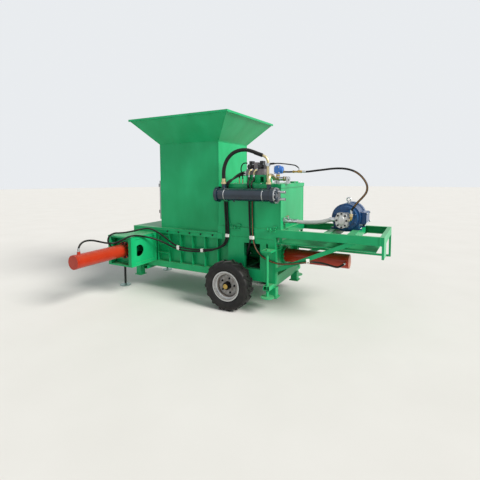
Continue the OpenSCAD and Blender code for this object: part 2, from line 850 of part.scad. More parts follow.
// The bell housing steps down from the motor's flange to the pump
bell_l = 110;
bell_d = 220;
bell_flange = 90;
bell_flange_d = 324;
module bell_housing() {
  color(BLUE) {
    bar_y(motor_x, motor_y0 - bell_flange, shaft_z, bell_flange, bell_flange_d);
    bar_y(motor_x, motor_y0 - bell_l, shaft_z, bell_l - bell_flange, bell_d);
  }
}
// Gear pump: a tall body, a cover plate, and a port on each side
pump_b = 150;
pump_h = 200;
pump_l = 180;
pump_up = -6;
cover_t = 30;
cover_over = 12;
module pump() {
  y = motor_y0 - bell_l - pump_l;
  z = shaft_z + pump_up;
  half_b = pump_b / 2;
  half_h = pump_h / 2;
  straight = half_h - half_b;
  color(STEEL) {
    block([motor_x - half_b + cover_over, y + cover_t, z - half_h + cover_over],
          [motor_x + half_b - cover_over, motor_y0 - bell_l, z + half_h - cover_over]);
    for (s = [-1, 1]) bar_y(motor_x, y, z + s * straight, cover_t, pump_b);
    block([motor_x - half_b, y, z - straight], [motor_x + half_b, y + cover_t, z + straight]);
    bar_x(motor_x - half_b - 14, y + 70, z, 40, 70);
    bar_x(motor_x + half_b - 26, y + 54, z, 46, 44);
  }
}

// Hoses. Each runs through points that are joined by a smooth curve
function unit(v) = v / norm(v);
function curve(a, b, c, d, t) =
  0.5 * (2 * b + (c - a) * t + (2 * a - 5 * b + 4 * c - d) * t * t + (3 * b - a - 3 * c + d) * t * t * t);
function route(p) = let (m = len(p) - 1) [
  for (i = [0 : m - 1]) for (t = [0, 0.5]) curve(p[max(i - 1, 0)], p[i], p[i + 1], p[min(i + 2, m)], t),
  p[m]];
function across(v) = unit(abs(v.z) < 0.9 * norm(v) ? cross(v, [0, 0, 1]) : cross(v, [1, 0, 0]));
// The side direction of each ring is the last one's, laid flat in the new ring
function side_of(t, s, i) =
  i == len(t) ? [] : let (u = unit(s - (s * t[i]) * t[i])) concat([u], side_of(t, u, i + 1));
module hose(points, d, sides = 10) {
  p = route(points);
  n = len(p);
  m = len(points);
  start = unit(points[1] - points[0]);
  end = unit(points[m - 1] - points[m - 2]);
  t = [start, for (i = [1 : n - 2]) unit(p[i + 1] - p[i - 1]), end];
  s = side_of(t, across(t[0]), 0);
  ring = [for (i = [0 : n - 1]) for (k = [0 : sides - 1])
    p[i] + d / 2 * (cos(360 * k / sides) * s[i] + sin(360 * k / sides) * cross(t[i], s[i]))];
  wall = [for (i = [0 : n - 2]) for (k = [0 : sides - 1])
    [i * sides + k, (i + 1) * sides + k, (i + 1) * sides + (k + 1) % sides, i * sides + (k + 1) % sides]];
  first = [for (k = [0 : sides - 1]) k];
  last = [for (k = [sides - 1 : -1 : 0]) (n - 1) * sides + k];
  polyhedron(ring, concat(wall, [first, last]), convexity = 8);
}

// Where the hoses run. From the cooler's left port over to the return pipe
RETURN = [[-111, -602, 1757.3], [-111, -602, 1780], [-110, -602, 1835], [-112.5, -601, 1900],
  [-106.7, -598, 1970], [-91.9, -588, 2040], [-59.1, -570, 2115], [3.7, -541, 2185],
  [86.5, -500, 2224], [174.4, -460, 2230], [257.2, -422, 2206], [330, -388, 2173]];
RETURN_ELBOW = [[331, -388, 2172.5], [372, -370, 2156], [410, -358, 2138], [438, -351, 2112],
  [452, -350, 2080], [454, -350, 2045]];
// From the left end of the valve stack to the two ports of the push-out cylinder
ROD_SIDE = [[96.6, -322, 1922], [72, -322, 1922], [40, -342, 1914], [6, -378, 1892], [-30, -428, 1850],
  [-62, -486, 1796], [-88, -520, 1750], [-104, -512, 1698], [-112, -502, 1650], [-114, -499, 1612],
  [-118, -499, 1540], [-119, -500, 1460], [-114, -502, 1340], [-105, -505, 1220], [-97, -509, 1120],
  [-96, -509, 1040], [-106, -509, 960], [-140, -509, 890], [-215, -509, 835], [-340, -509, 793],
  [-480, -509, 770], [-630, -509, 756], [-780, -509, 750], [-920, -509, 755], [-1030, -509, 772],
  [-1125, -514, 812], [-1210, -527, 868], [-1295, -550, 930], [-1370, -583, 985], [-1440, -625, 1025],
  [-1505, -668, 1042], [-1570, -735, 1032], [-1650, -815, 1010], [-1730, -895, 994], [-1800, -960, 990],
  [-1848, -1012, 990], [-1886, -1070, 962], [-1898, -1098, 905], [-1898, -1090, 845],
  [-1887, -1052, 785], [-1884, -1014, 742], [-1872, -1000, 726.5], [-1850, -1000, 726.5]];
CAP_SIDE = [[96.6, -322, 1886], [70, -322, 1886], [34, -340, 1880], [-6, -372, 1862], [-50, -425, 1830],
  [-92, -482, 1798], [-122, -520, 1752], [-138, -512, 1700], [-147, -502, 1650], [-149, -499, 1612],
  [-152, -502, 1540], [-153, -504, 1460], [-148, -504, 1340], [-140, -505, 1220], [-131, -509, 1120],
  [-129, -509, 1040], [-138, -509, 960], [-175, -509, 885], [-265, -509, 818], [-400, -509, 766],
  [-540, -509, 738], [-690, -509, 722], [-830, -509, 715], [-960, -509, 720], [-1075, -510, 738],
  [-1170, -518, 768], [-1245, -545, 808], [-1310, -595, 848], [-1370, -660, 885], [-1420, -730, 915],
  [-1446, -805, 940], [-1455, -880, 960], [-1456, -950, 974], [-1463, -1020, 982], [-1492, -1080, 970],
  [-1548, -1108, 938], [-1610, -1120, 905], [-1668, -1145, 882], [-1706, -1200, 878],
  [-1716, -1270, 892], [-1720, -1350, 916], [-1720, -1430, 944], [-1720, -1510, 970],
  [-1720, -1590, 983], [-1720, -1660, 980], [-1720, -1715, 952], [-1719.5, -1747, 900],
  [-1719.5, -1747, 857]];
// From under the valve stack to the two ports of the press cylinder
PRESS_ROD_SIDE = [[172, -372, 1883.4], [172, -372, 1855], [177, -390, 1820], [190, -430, 1795],
  [208, -475, 1785], [222, -516, 1752], [229, -508, 1700], [233, -499, 1612], [235, -499, 1540],
  [236, -500, 1460], [240, -502, 1340], [246, -505, 1220], [252, -509, 1120], [257, -509, 1040],
  [255, -509, 970], [240, -507, 900], [215, -495, 835], [190, -468, 780], [165, -415, 738],
  [138, -340, 715], [108, -265, 705], [80, -195, 701], [70, -155, 700], [70, -130.5, 700]];
PRESS_CAP_SIDE = [[248, -372, 1883.4], [248, -372, 1855], [252, -390, 1820], [259, -430, 1795],
  [268, -475, 1785], [277, -516, 1752], [282, -508, 1700], [285, -499, 1612], [286, -499, 1540],
  [286, -500, 1460], [287, -502, 1340], [290, -505, 1220], [294, -509, 1120], [298, -509, 1040],
  [308, -509, 965], [330, -509, 890], [372, -509, 820], [435, -509, 765], [515, -509, 725],
  [610, -513, 700], [710, -520, 692], [830, -522, 704], [950, -522, 728], [1060, -519, 752],
  [1140, -480, 757], [1215, -415, 742], [1285, -340, 712], [1345, -275, 680], [1400, -230, 664],
  [1447, -190, 682], [1474, -158, 700], [1474, -130.5, 700]];
// From the blue valve to the pump, in a high loop
PUMP = [[930.3, -300, 1922], [1010, -300, 1922], [1110, -300, 1933], [1215, -300, 1944],
  [1320, -300, 1955], [1425, -300, 1958], [1520, -300, 1947], [1605, -300, 1918], [1675, -300, 1868],
  [1730, -300, 1800], [1757, -300, 1730], [1748, -300, 1660], [1705, -300, 1596], [1655, -300, 1540],
  [1610, -298, 1480], [1582, -297, 1440], [1571, -296, 1412], [1571, -296, 1385.2]];
// From the return pipe to the pressure line
PILOT = [[478, -350, 2033], [540, -344, 2037], [610, -335, 2038], [690, -325, 2030], [770, -315, 2019],
  [835, -307, 2006], [872, -302, 1980], [885, -300, 1964], [885, -300, 1944.5]];
// From the suction valve to the pump
SUCTION = [[815.4, -350, 1256], [850, -350, 1256], [910, -346, 1251], [990, -338, 1248],
  [1090, -330, 1252], [1190, -320, 1263], [1275, -298, 1284], [1330, -280, 1298], [1352, -280, 1299],
  [1373.5, -280, 1299]];
// From the cooler's right port to the filter pipe
COOLER_ELBOW = [[576, -602, 1757.3], [576, -602, 1785], [576, -600, 1825], [575, -585, 1856],
  [572, -550, 1873], [567, -490, 1874], [563, -430, 1860], [561, -385, 1834], [561, -346.4, 1834]];

module return_hose() { color(DARK) hose(RETURN, return_d); }
module push_out_hoses() {
  color(DARK) {
    hose(ROD_SIDE, hose_d);
    hose(CAP_SIDE, hose_d);
  }
}
module press_hoses() {
  color(DARK) {
    hose(PRESS_ROD_SIDE, hose_d);
    hose(PRESS_CAP_SIDE, hose_d);
  }
}
module pump_hose() { color(DARK) hose(PUMP, hose_d); }
module pilot_hose() { color(DARK) hose(PILOT, pilot_d, 8); }
module suction_hose() { color(GREY) hose(SUCTION, suction_d); }

// Steel fittings: return pipe and elbow, pressure line, valve elbows, suction valve and pump elbow
module oil_fittings() {
  color(STEEL) {
    hose(RETURN_ELBOW, 32);
    translate([454, -350, lid_z1]) cylinder(d = 36, h = 2000 - lid_z1);
    translate([454, -350, 2000]) cylinder(d = 46, h = 44.7);
    bar_x(blue_x + 130, -300, 1922, 800 - blue_x, 24);
    block([870, -318, 1904], [900, -282, 1944]);
    block([97, -345, 1866], [ped_x - 14.3, -300, 1942]);
    for (x = [172, 248])
      block([x - 14, -386, 1884], [x + 14, valve_y0, 1940]);
    hose(COOLER_ELBOW, 50);
    bar_x(tank_x1, -350, 1256, 120, 60);
    block([motor_x + 95.3, -312, shaft_z + pump_up - 20], [1587, -280, 1384.7]);
  }
}

hub_in = 85;
module axle() {
  color(DARK) {
    block([-axle_sq / 2, -wheel_y + hub_in, axle_z - axle_sq / 2],
          [axle_sq / 2, wheel_y - hub_in, axle_z + axle_sq / 2]);
    for (s = [0, 1]) mirror([0, s, 0]) {
      bar_y(0, wheel_y - hub_in, axle_z, hub_in + 10, spindle_d);
      block([-axle_sq / 2, y_wall, axle_z + axle_sq / 2], [axle_sq / 2, y_out, z0]);
    }
  }
}

// Wheel pieces on the far side; the near ones are their mirror image
bead_y = 80;
wall_r = (rim_flange_d + tyre_d) / 4;
tread_r = tyre_d / 2 - tread_h;
shoulder = 20;
lug_deep = 24;
// A small block of a lug, at an angle round the wheel, a radius and a distance from the wheel's middle
module lug_end(angle, r, y, b) {
  rotate([0, 0, angle]) translate([r - lug_deep, -b / 2, y - 4]) cube([lug_deep, b, 8]);
}
module tyre() {
  w = tyre_w / 2;
  bead_r = rim_d / 2 / cos(90 / tread_n);
  step = 360 / tread_n;
  translate([0, wheel_y, axle_z]) rotate([90, 0, 0]) {
    rotate_extrude($fn = 2 * tread_n)
      polygon([[bead_r, -bead_y], [rim_flange_d / 2, -bead_y], [wall_r, -w], [tread_r, -w + 24],
               [tread_r, w - 24], [wall_r, w], [rim_flange_d / 2, bead_y], [bead_r, bead_y]]);
    for (i = [0 : tread_n - 1]) for (side = [-1, 1]) {
      a = (i + 0.25 * side) * step;
      hull() {
        lug_end(a, tyre_d / 2 - 0.6, -side * 8, 38);
        lug_end(a + 0.55 * step, tyre_d / 2 - 2, side * (w - 24), 44);
        lug_end(a + 0.6 * step, tread_r - 2 * shoulder, side * (w - 5), 36);
      }
    }
  }
}
// The rim is pressed from one sheet with a drop centre; the disc is dished outwards
sheet_t = 10;
dish_r = 150;
module rim() {
  b = bead_y + 0.3;
  f = rim_flange_d / 2;
  r = rim_d / 2 - 0.3;
  k = r - sheet_t;
  drop = 26;
  translate([0, wheel_y, axle_z]) rotate([-90, 0, 0]) rotate_extrude($fn = 96)
    polygon([[hub_d / 2 + 0.3, 10], [dish_r - 30, 10], [dish_r, -8], [k - drop, -16], [k - drop, -40],
             [k, -52], [k, -b - sheet_t], [f, -b - sheet_t], [f, -b],
             [r, -b], [r, -47], [r - drop, -32], [r - drop, 30], [r, 47], [r, b], [f, b], [f, b + sheet_t],
             [k, b + sheet_t], [k, 52], [k - drop, 36], [k - drop, 8], [dish_r - 24, 22],
             [hub_d / 2 + 0.3, 22]]);
}
// The hub turns on the spindle; its cap closes it outside
hub_d = 110;
hub_l = 130;
flange_r = 118;
cap_d = 56;
module hub() {
  difference() {
    union() {
      bar_y(0, wheel_y - 60, axle_z, hub_l, hub_d);
      bar_y(0, wheel_y - 8, axle_z, 17.7, 2 * flange_r);
      bar_y(0, wheel_y - 60 + hub_l, axle_z, 14, hub_d - 26);
      bar_y(0, wheel_y - 60 + hub_l + 14, axle_z, 14, cap_d);
    }
    bar_y(0, wheel_y - 60 - e, axle_z, 60 + 20 + e, spindle_d + 2 * hub_gap);
  }
}
module near_tyre() { color(DARK) mirror([0, 1, 0]) tyre(); }
module near_rim() { color(GREY) mirror([0, 1, 0]) rim(); }
module near_hub() { color(DARK) mirror([0, 1, 0]) hub(); }
module far_tyre() { color(DARK) tyre(); }
module far_rim() { color(GREY) rim(); }
module far_hub() { color(DARK) hub(); }

leg_left_in = 35;
module leg(x, top) {
  pair_block([x, y_out - leg_sq, leg_up + foot_t], [x + leg_sq, y_out, top]);
  pair_block([x - foot_margin, y_out - leg_sq - foot_margin, leg_up],
             [x + leg_sq + foot_margin, y_out + foot_margin, leg_up + foot_t]);
}
module legs() {
  color(GREEN) {
    leg(x0 + leg_left_in, z0);
    leg(x1 - leg_sq, z0 - tube_h);
  }
}

// Cross tubes under the chamber; the screws of the right jacks pass through the ends of the right one
tube_b = 90;
tube_h = 60;
tube_t = 6;
tube_out = 157;
tube_left_x = x0 + 240;
tube_right_x = jack_xr - tube_b / 2;
module cross_tube(x, reach) {
  difference() {
    block([x, -y_out - reach, z0 - tube_h], [x + tube_b, y_out + reach, z0]);
    block([x + tube_t, -y_out - reach - e, z0 - tube_h + tube_t],
          [x + tube_b - tube_t, y_out + reach + e, z0 - tube_t]);
  }
}
module cross_tubes() {
  color(GREEN) {
    cross_tube(tube_left_x, 50);
    difference() {
      cross_tube(tube_right_x, tube_out);
      for (y = [-jack_y, jack_y])
        translate([jack_xr, y, z0 - tube_h - e]) cylinder(d = screw_d + 2, h = tube_h + 2 * e);
    }
  }
}

// A nut plate for a screw, reaching from the chamber
module nut_plate(x, a, b, z) {
  difference() {
    block([a, y_out, z], [b, jack_y + 45, z + nut_t]);
    translate([x, jack_y, z - e]) cylinder(d = screw_d + 1, h = nut_t + 2 * e);
  }
}
module jack_nuts() {
  color(GREEN) for (s = [0, 1]) mirror([0, s, 0]) {
    nut_plate(jack_xr, jack_xr - 70, x1, nut_right_z);
    difference() {
      union() {
        block([jack_xl - 45, y_out - 120, nut_left_z], [x0, y_out, nut_left_z + nut_t]);
        block([jack_xl - 45, y_out, nut_left_z], [jack_xl + 45, jack_yl + 45, nut_left_z + nut_t]);
      }
      translate([jack_xl, jack_yl, nut_left_z - e]) cylinder(d = screw_d + 1, h = nut_t + 2 * e);
    }
  }
}

// A screw jack with its disc at a height above the ground
module jack(x, y, up) {
  translate([x, y, up]) {
    cylinder(d = disc_d, h = disc_t);
    cylinder(d = screw_d, h = screw_l);
  }
}
module jack_near_left() { color(STEEL) mirror([0, 1, 0]) jack(jack_xl, jack_yl, 0); }
module jack_far_left() { color(STEEL) jack(jack_xl, jack_yl, 0); }
module jack_near_right() { color(GREEN) mirror([0, 1, 0]) jack(jack_xr, jack_y, jack_right_up); }
module jack_far_right() { color(GREEN) jack(jack_xr, jack_y, jack_right_up); }

// Every piece is moved from the axle to the origin
module placed() {
  translate([-origin_x, -origin_y, 0]) children();
}

placed() chamber_floor();
placed() chamber_top();
placed() wall_near();
placed() wall_far();
placed() end_wall_left();
placed() end_wall_right();
placed() side_frame_near();
placed() side_frame_far();
placed() outlet_frame();
placed() outlet_door();
placed() eject_housing();
placed() eject_barrel();
placed() eject_rod();
placed() eject_platen();
placed() press_barrel();
placed() press_rod();
placed() press_platen();
placed() hopper_column();
placed() hopper_flare();
placed() cabinet_box();
placed() cabinet_door();
placed() beam_near();
placed() beam_far();
placed() platform_cross();
placed() tow_frame();
placed() drip_plate();
placed() braces();
placed() tank();
placed() tank_lid();
placed() pedestal();
placed() valve_stack();
placed() filter();
placed() blue_valve();
placed() cooler();
placed() cooler_saddles();
placed() motor();
placed() bell_housing();
placed() pump();
placed() oil_fittings();
placed() return_hose();
placed() push_out_hoses();
placed() press_hoses();
placed() pump_hose();
placed() pilot_hose();
placed() suction_hose();
placed() axle();
placed() near_tyre();
placed() near_rim();
placed() near_hub();
placed() far_tyre();
placed() far_rim();
placed() far_hub();
placed() legs();
placed() cross_tubes();
placed() jack_nuts();
placed() jack_near_left();
placed() jack_far_left();
placed() jack_near_right();
placed() jack_far_right();
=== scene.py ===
import math

import bmesh
import bpy
from mathutils import Matrix, Vector


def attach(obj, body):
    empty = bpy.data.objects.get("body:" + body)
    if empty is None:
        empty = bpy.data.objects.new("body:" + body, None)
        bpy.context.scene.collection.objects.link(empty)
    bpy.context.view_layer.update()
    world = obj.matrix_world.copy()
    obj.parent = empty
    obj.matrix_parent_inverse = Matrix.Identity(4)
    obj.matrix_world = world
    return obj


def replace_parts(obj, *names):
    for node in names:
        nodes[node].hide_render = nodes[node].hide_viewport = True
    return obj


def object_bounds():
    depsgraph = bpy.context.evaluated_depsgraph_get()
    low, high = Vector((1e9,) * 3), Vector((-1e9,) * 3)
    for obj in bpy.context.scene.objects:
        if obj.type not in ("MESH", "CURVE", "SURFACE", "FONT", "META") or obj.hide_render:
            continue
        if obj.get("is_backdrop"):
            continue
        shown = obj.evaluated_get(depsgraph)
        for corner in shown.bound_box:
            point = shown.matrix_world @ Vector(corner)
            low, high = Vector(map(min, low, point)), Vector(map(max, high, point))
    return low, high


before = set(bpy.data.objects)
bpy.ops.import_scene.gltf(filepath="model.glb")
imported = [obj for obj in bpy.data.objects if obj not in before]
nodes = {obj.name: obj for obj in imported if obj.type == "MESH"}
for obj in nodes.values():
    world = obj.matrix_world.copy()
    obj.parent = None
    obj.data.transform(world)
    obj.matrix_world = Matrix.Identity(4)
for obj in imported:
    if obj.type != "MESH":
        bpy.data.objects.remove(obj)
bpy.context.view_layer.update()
scene = bpy.context.scene


# Camera
# It stands at eye height off the near corner of the towing end and looks back along the press.
# Points are given in metres from the axle, the machine's middle plane and the ground.
axle_x, middle_y = 0.1205, 0.5255
up = (0, 0, 1)


def spot(x, y, z):
    """A point of the machine in the frame's own place."""
    return Vector((x + axle_x, y + middle_y, z))


yaw, pitch, roll = (math.radians(a) for a in (28.162, -4.123, -0.276))
ahead = Vector((-math.sin(yaw) * math.cos(pitch), math.cos(yaw) * math.cos(pitch), math.sin(pitch)))
level = ahead.cross(Vector(up)).normalized()
upright = level.cross(ahead)
right = level * math.cos(roll) + upright * math.sin(roll)
above = upright * math.cos(roll) - level * math.sin(roll)
lens = bpy.data.cameras.new("photo_view")
lens.sensor_width = 36
lens.lens = 25.784
lens.shift_y = -0.08125
lens.clip_end = 200
camera = bpy.data.objects.new("photo_view", lens)
camera.matrix_world = Matrix((
    (right.x, above.x, -ahead.x, 0), (right.y, above.y, -ahead.y, 0), (right.z, above.z, -ahead.z, 0),
    (0, 0, 0, 1)))
camera.location = spot(2.372, -4.760, 1.865)
scene.collection.objects.link(camera)
scene.camera = camera


# Press chamber
# Floor, top plate, walls, ribs and rails of hot-rolled plate, cut, welded and sprayed with green enamel.
# Alkyd enamel: even and glossy from afar, with soft sags, dust where it lies flat and chips on its edges.
chamber_left, chamber_right = -1.964, 0.630
floor_z, rail_z, top_rail_z, top_plate_z = 0.400, 0.497, 0.956, 1.010
wall_y, half_wide = 0.430, 0.493
fresh_green, faded_green = "#0a9c5e", "#22b072"


def linear(code):
    """A colour written as sRGB hex, as linear light."""
    parts = [int(code[i:i + 2], 16) / 255 for i in (1, 3, 5)]
    return [c / 12.92 if c < 0.04045 else ((c + 0.055) / 1.055) ** 2.4 for c in parts] + [1]


def put(tree, kind, inputs=None, **settings):
    """Adds a node with its settings; an input is given a value or linked to a socket."""
    node = tree.nodes.new(kind)
    for name, value in settings.items():
        setattr(node, name, value)
    for name, value in (inputs or {}).items():
        if isinstance(value, bpy.types.NodeSocket):
            tree.links.new(value, node.inputs[name])
        else:
            node.inputs[name].default_value = value
    return node


def blank(name):
    """An empty material: its tree, and the point on the piece that its patterns follow."""
    material = bpy.data.materials.new(name)
    material.use_nodes = True
    material.node_tree.nodes.clear()
    tree = material.node_tree
    return material, tree, put(tree, "ShaderNodeTexCoord").outputs


def surface(tree, **inputs):
    """Ends a material in the surface shader."""
    named = {key.replace("_", " "): value for key, value in inputs.items()}
    shader = put(tree, "ShaderNodeBsdfPrincipled", named)
    put(tree, "ShaderNodeOutputMaterial", {"Surface": shader.outputs[0]})


def enamel(name, fresh=fresh_green, faded=faded_green, dust=0.3, chips=0.5, gloss=0.36, coat=0.0, green=None):
    """Paint on steel plate: patches 450 mm wide, tall runs 200 mm wide, and chips of 14 mm along the edges.
    Its orange peel is drawn 6 mm wide so that it shows. Past a given place on an axis it is fresh green."""
    material, tree, at = blank(name)
    patches = put(tree, "ShaderNodeTexNoise", {"Vector": at["Object"], "Scale": 2.2, "Detail": 3.0})
    tall = put(tree, "ShaderNodeMapping", {"Vector": at["Object"], "Scale": (5, 5, 1.6)})
    runs = put(tree, "ShaderNodeTexNoise", {"Vector": tall.outputs[0], "Scale": 1.0, "Detail": 4.0})
    shade = put(tree, "ShaderNodeMath", {0: patches.outputs[0], 1: runs.outputs[0]}, operation="MULTIPLY")
    spread = put(tree, "ShaderNodeMapRange",
                 {0: shade.outputs[0], "From Min": 0.10, "From Max": 0.45})
    paint = put(tree, "ShaderNodeMix", {0: spread.outputs[0], 6: linear(fresh), 7: linear(faded)},
                data_type="RGBA")
    if green:
        axis, comparison, limit = green
        place = put(tree, "ShaderNodeSeparateXYZ", {0: at["Object"]})
        past = put(tree, "ShaderNodeMath", {0: place.outputs[axis], 1: limit}, operation=comparison)
        paint = put(tree, "ShaderNodeMix",
                    {0: past.outputs[0], 6: paint.outputs[2], 7: linear(fresh_green)}, data_type="RGBA")
    facing = put(tree, "ShaderNodeSeparateXYZ", {0: at["Normal"]})
    grit = put(tree, "ShaderNodeTexNoise", {"Vector": at["Object"], "Scale": 14.0, "Detail": 6.0})
    lying = put(tree, "ShaderNodeMapRange",
                {0: facing.outputs[2], "From Min": 0.4, "From Max": 1.0, "To Min": 0.0, "To Max": dust})
    settled = put(tree, "ShaderNodeMath", {0: lying.outputs[0], 1: grit.outputs[0]}, operation="MULTIPLY")
    dusty = put(tree, "ShaderNodeMix",
                {0: settled.outputs[0], 6: paint.outputs[2], 7: linear("#b9b49c")}, data_type="RGBA")
    rounded = put(tree, "ShaderNodeBevel", {"Radius": 0.004}, samples=4)
    flat = put(tree, "ShaderNodeNewGeometry")
    same = put(tree, "ShaderNodeVectorMath", {0: rounded.outputs[0], 1: flat.outputs["Normal"]},
               operation="DOT_PRODUCT")
    edge = put(tree, "ShaderNodeMapRange",
               {0: same.outputs["Value"], "From Min": 0.985, "From Max": 0.9})
    flakes = put(tree, "ShaderNodeTexNoise", {"Vector": at["Object"], "Scale": 70.0, "Detail": 3.0})
    loose = put(tree, "ShaderNodeMapRange",
                {0: flakes.outputs[0], "From Min": 0.56, "From Max": 0.64, "To Min": 0.0, "To Max": chips})
    bare = put(tree, "ShaderNodeMath", {0: edge.outputs[0], 1: loose.outputs[0]}, operation="MULTIPLY")
    colour = put(tree, "ShaderNodeMix",
                 {0: bare.outputs[0], 6: dusty.outputs[2], 7: linear("#6e6459")}, data_type="RGBA")
    dull = put(tree, "ShaderNodeMath", {0: settled.outputs[0], 1: 0.7}, operation="MULTIPLY")
    rough = put(tree, "ShaderNodeMapRange",
                {0: dull.outputs[0], "From Min": 0.0, "From Max": 0.5, "To Min": gloss, "To Max": 0.75})
    waves = put(tree, "ShaderNodeTexNoise", {"Vector": at["Object"], "Scale": 2.6, "Detail": 1.0})
    peel = put(tree, "ShaderNodeTexNoise", {"Vector": at["Object"], "Scale": 160.0, "Detail": 2.0})
    sheet = put(tree, "ShaderNodeBump", {"Height": waves.outputs[0], "Distance": 0.012,
                                         "Strength": 0.5, "Normal": rounded.outputs[0]})
    skin = put(tree, "ShaderNodeBump", {"Height": peel.outputs[0], "Distance": 0.0006,
                                        "Strength": 0.5, "Normal": sheet.outputs[0]})
    surface(tree, Base_Color=colour.outputs[2], Roughness=rough.outputs[0], Normal=skin.outputs[0],
            Specular_IOR_Level=0.25, Coat_Weight=coat, Coat_Roughness=0.12)
    return material


def dress(finish, *names):
    """Gives CAD pieces their one finish."""
    for name in names:
        nodes[name].data.materials.clear()
        nodes[name].data.materials.append(finish)


green_enamel = enamel("alkyd_enamel_green", gloss=0.32)
dress(green_enamel, "chamber_top", "wall_near", "wall_far", "end_wall_left", "end_wall_right",
      "side_frame_near", "side_frame_far", "outlet_frame")


# The floor is scoured bright by the bales that slide over it; its sides keep their paint.
# Hot-rolled steel rubbed by straw: fine scratches 5 mm apart along the push, rust where it stays wet.
def scoured(name, axis, side):
    """Plate that is bare where its face looks along the given axis, and green elsewhere."""
    material, tree, at = blank(name)
    facing = put(tree, "ShaderNodeSeparateXYZ", {0: at["Normal"]})
    bare = put(tree, "ShaderNodeMapRange",
               {0: facing.outputs[axis], "From Min": 0.5 * side, "From Max": 0.9 * side})
    along = put(tree, "ShaderNodeMapping", {"Vector": at["Object"], "Scale": (6, 200, 200)})
    lines = put(tree, "ShaderNodeTexNoise", {"Vector": along.outputs[0], "Scale": 1.0, "Detail": 3.0})
    rust = put(tree, "ShaderNodeTexNoise", {"Vector": at["Object"], "Scale": 5.0, "Detail": 6.0})
    steel = put(tree, "ShaderNodeMix",
                {0: lines.outputs[0], 6: linear("#7c7b78"), 7: linear("#a5a29c")}, data_type="RGBA")
    stain = put(tree, "ShaderNodeMapRange",
                {0: rust.outputs[0], "From Min": 0.55, "From Max": 0.72, "To Min": 0.0, "To Max": 0.8})
    plate = put(tree, "ShaderNodeMix",
                {0: stain.outputs[0], 6: steel.outputs[2], 7: linear("#7a5238")}, data_type="RGBA")
    colour = put(tree, "ShaderNodeMix",
                 {0: bare.outputs[0], 6: linear(fresh_green), 7: plate.outputs[2]}, data_type="RGBA")
    bump = put(tree, "ShaderNodeBump", {"Height": lines.outputs[0], "Distance": 0.0008, "Strength": 0.4})
    shine = put(tree, "ShaderNodeMath", {0: bare.outputs[0], 1: 0.8}, operation="MULTIPLY")
    surface(tree, Base_Color=colour.outputs[2], Metallic=shine.outputs[0], Roughness=0.42,
            Normal=bump.outputs[0])
    return material


dress(scoured("scoured_floor_plate", 2, 1), "chamber_floor")


# Welds run along every joint of the plates; they are ground nowhere and painted with them.
# A bead 9 mm wide with ripples, drawn 18 mm apart so that they show.
def start_tree(name, sizes, counts=()):
    """A tree that shapes a piece from the geometry, the sizes, the counts and the finish it is given."""
    tree = bpy.data.node_groups.new(name, "GeometryNodeTree")
    tree.interface.new_socket("Geometry", in_out="INPUT", socket_type="NodeSocketGeometry")
    for label in sizes:
        tree.interface.new_socket(label, in_out="INPUT", socket_type="NodeSocketFloat")
    for label in counts:
        tree.interface.new_socket(label, in_out="INPUT", socket_type="NodeSocketInt")
    tree.interface.new_socket("Finish", in_out="INPUT", socket_type="NodeSocketMaterial")
    tree.interface.new_socket("Geometry", in_out="OUTPUT", socket_type="NodeSocketGeometry")
    return tree, put(tree, "NodeGroupInput").outputs


def end_tree(tree, shape, finish):
    """Ends a tree in real geometry of one finish."""
    real = put(tree, "GeometryNodeRealizeInstances", {0: shape.outputs[0]})
    done = put(tree, "GeometryNodeSetMaterial", {"Geometry": real.outputs[0], "Material": finish})
    put(tree, "NodeGroupOutput", {0: done.outputs[0]})


bead_tree, given = start_tree("weld_bead", ("Radius", "Ripple", "Depth"))
seam = put(bead_tree, "GeometryNodeMeshToCurve", {"Mesh": given["Geometry"]})
step = put(bead_tree, "ShaderNodeMath", {0: given["Ripple"], 1: 0.5}, operation="MULTIPLY")
even = put(bead_tree, "GeometryNodeResampleCurve",
           {"Curve": seam.outputs[0], "Length": step.outputs[0]}, mode="LENGTH")
turn = put(bead_tree, "GeometryNodeInputIndex")
odd = put(bead_tree, "ShaderNodeMath", {0: turn.outputs[0], 1: 2.0}, operation="MODULO")
swell = put(bead_tree, "ShaderNodeMath", {0: odd.outputs[0], 1: given["Depth"], 2: 1.0},
            operation="MULTIPLY_ADD")
ring = put(bead_tree, "GeometryNodeCurvePrimitiveCircle", {"Resolution": 6, "Radius": given["Radius"]})
bead = put(bead_tree, "GeometryNodeCurveToMesh",
           {"Curve": even.outputs[0], "Profile Curve": ring.outputs[0], "Scale": swell.outputs[0],
            "Fill Caps": True})
end_tree(bead_tree, bead, given["Finish"])


def mount(name, mesh, body):
    """Hangs a mesh in the scene as a piece that rides on a body."""
    made = bpy.data.objects.new(name, mesh)
    scene.collection.objects.link(made)
    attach(made, body)
    return made


def grow(name, source, tree, body, slot, **inputs):
    """The plain mesh that a tree grows from a mesh, as a piece of the machine."""
    carrier = bpy.data.objects.new(name + "_source", source)
    scene.collection.objects.link(carrier)
    modifier = carrier.modifiers.new("shape", "NODES")
    modifier.node_group = tree
    for item in tree.interface.items_tree:
        if item.in_out == "INPUT" and item.name in inputs:
            modifier[item.identifier] = inputs[item.name]
    graph = bpy.context.evaluated_depsgraph_get()
    mesh = bpy.data.meshes.new_from_object(carrier.evaluated_get(graph), depsgraph=graph)
    mesh.name = name
    bpy.data.objects.remove(carrier)
    return mount(name, mesh, body)


def strands(name, paths):
    """A mesh of bare edges along paths of points."""
    points, edges = [], []
    for path in paths:
        edges += [(len(points) + i, len(points) + i + 1) for i in range(len(path) - 1)]
        points += [spot(*p) for p in path]
    lines = bpy.data.meshes.new(name + "_lines")
    lines.from_pydata(points, edges, [])
    return lines


def weld(name, body, paths, radius=0.0045, paint=green_enamel, slot="green_paint"):
    """Weld beads along paths of points."""
    return grow(name, strands(name, paths), bead_tree, body, slot, Radius=radius, Ripple=0.018, Depth=0.25,
                Finish=paint)


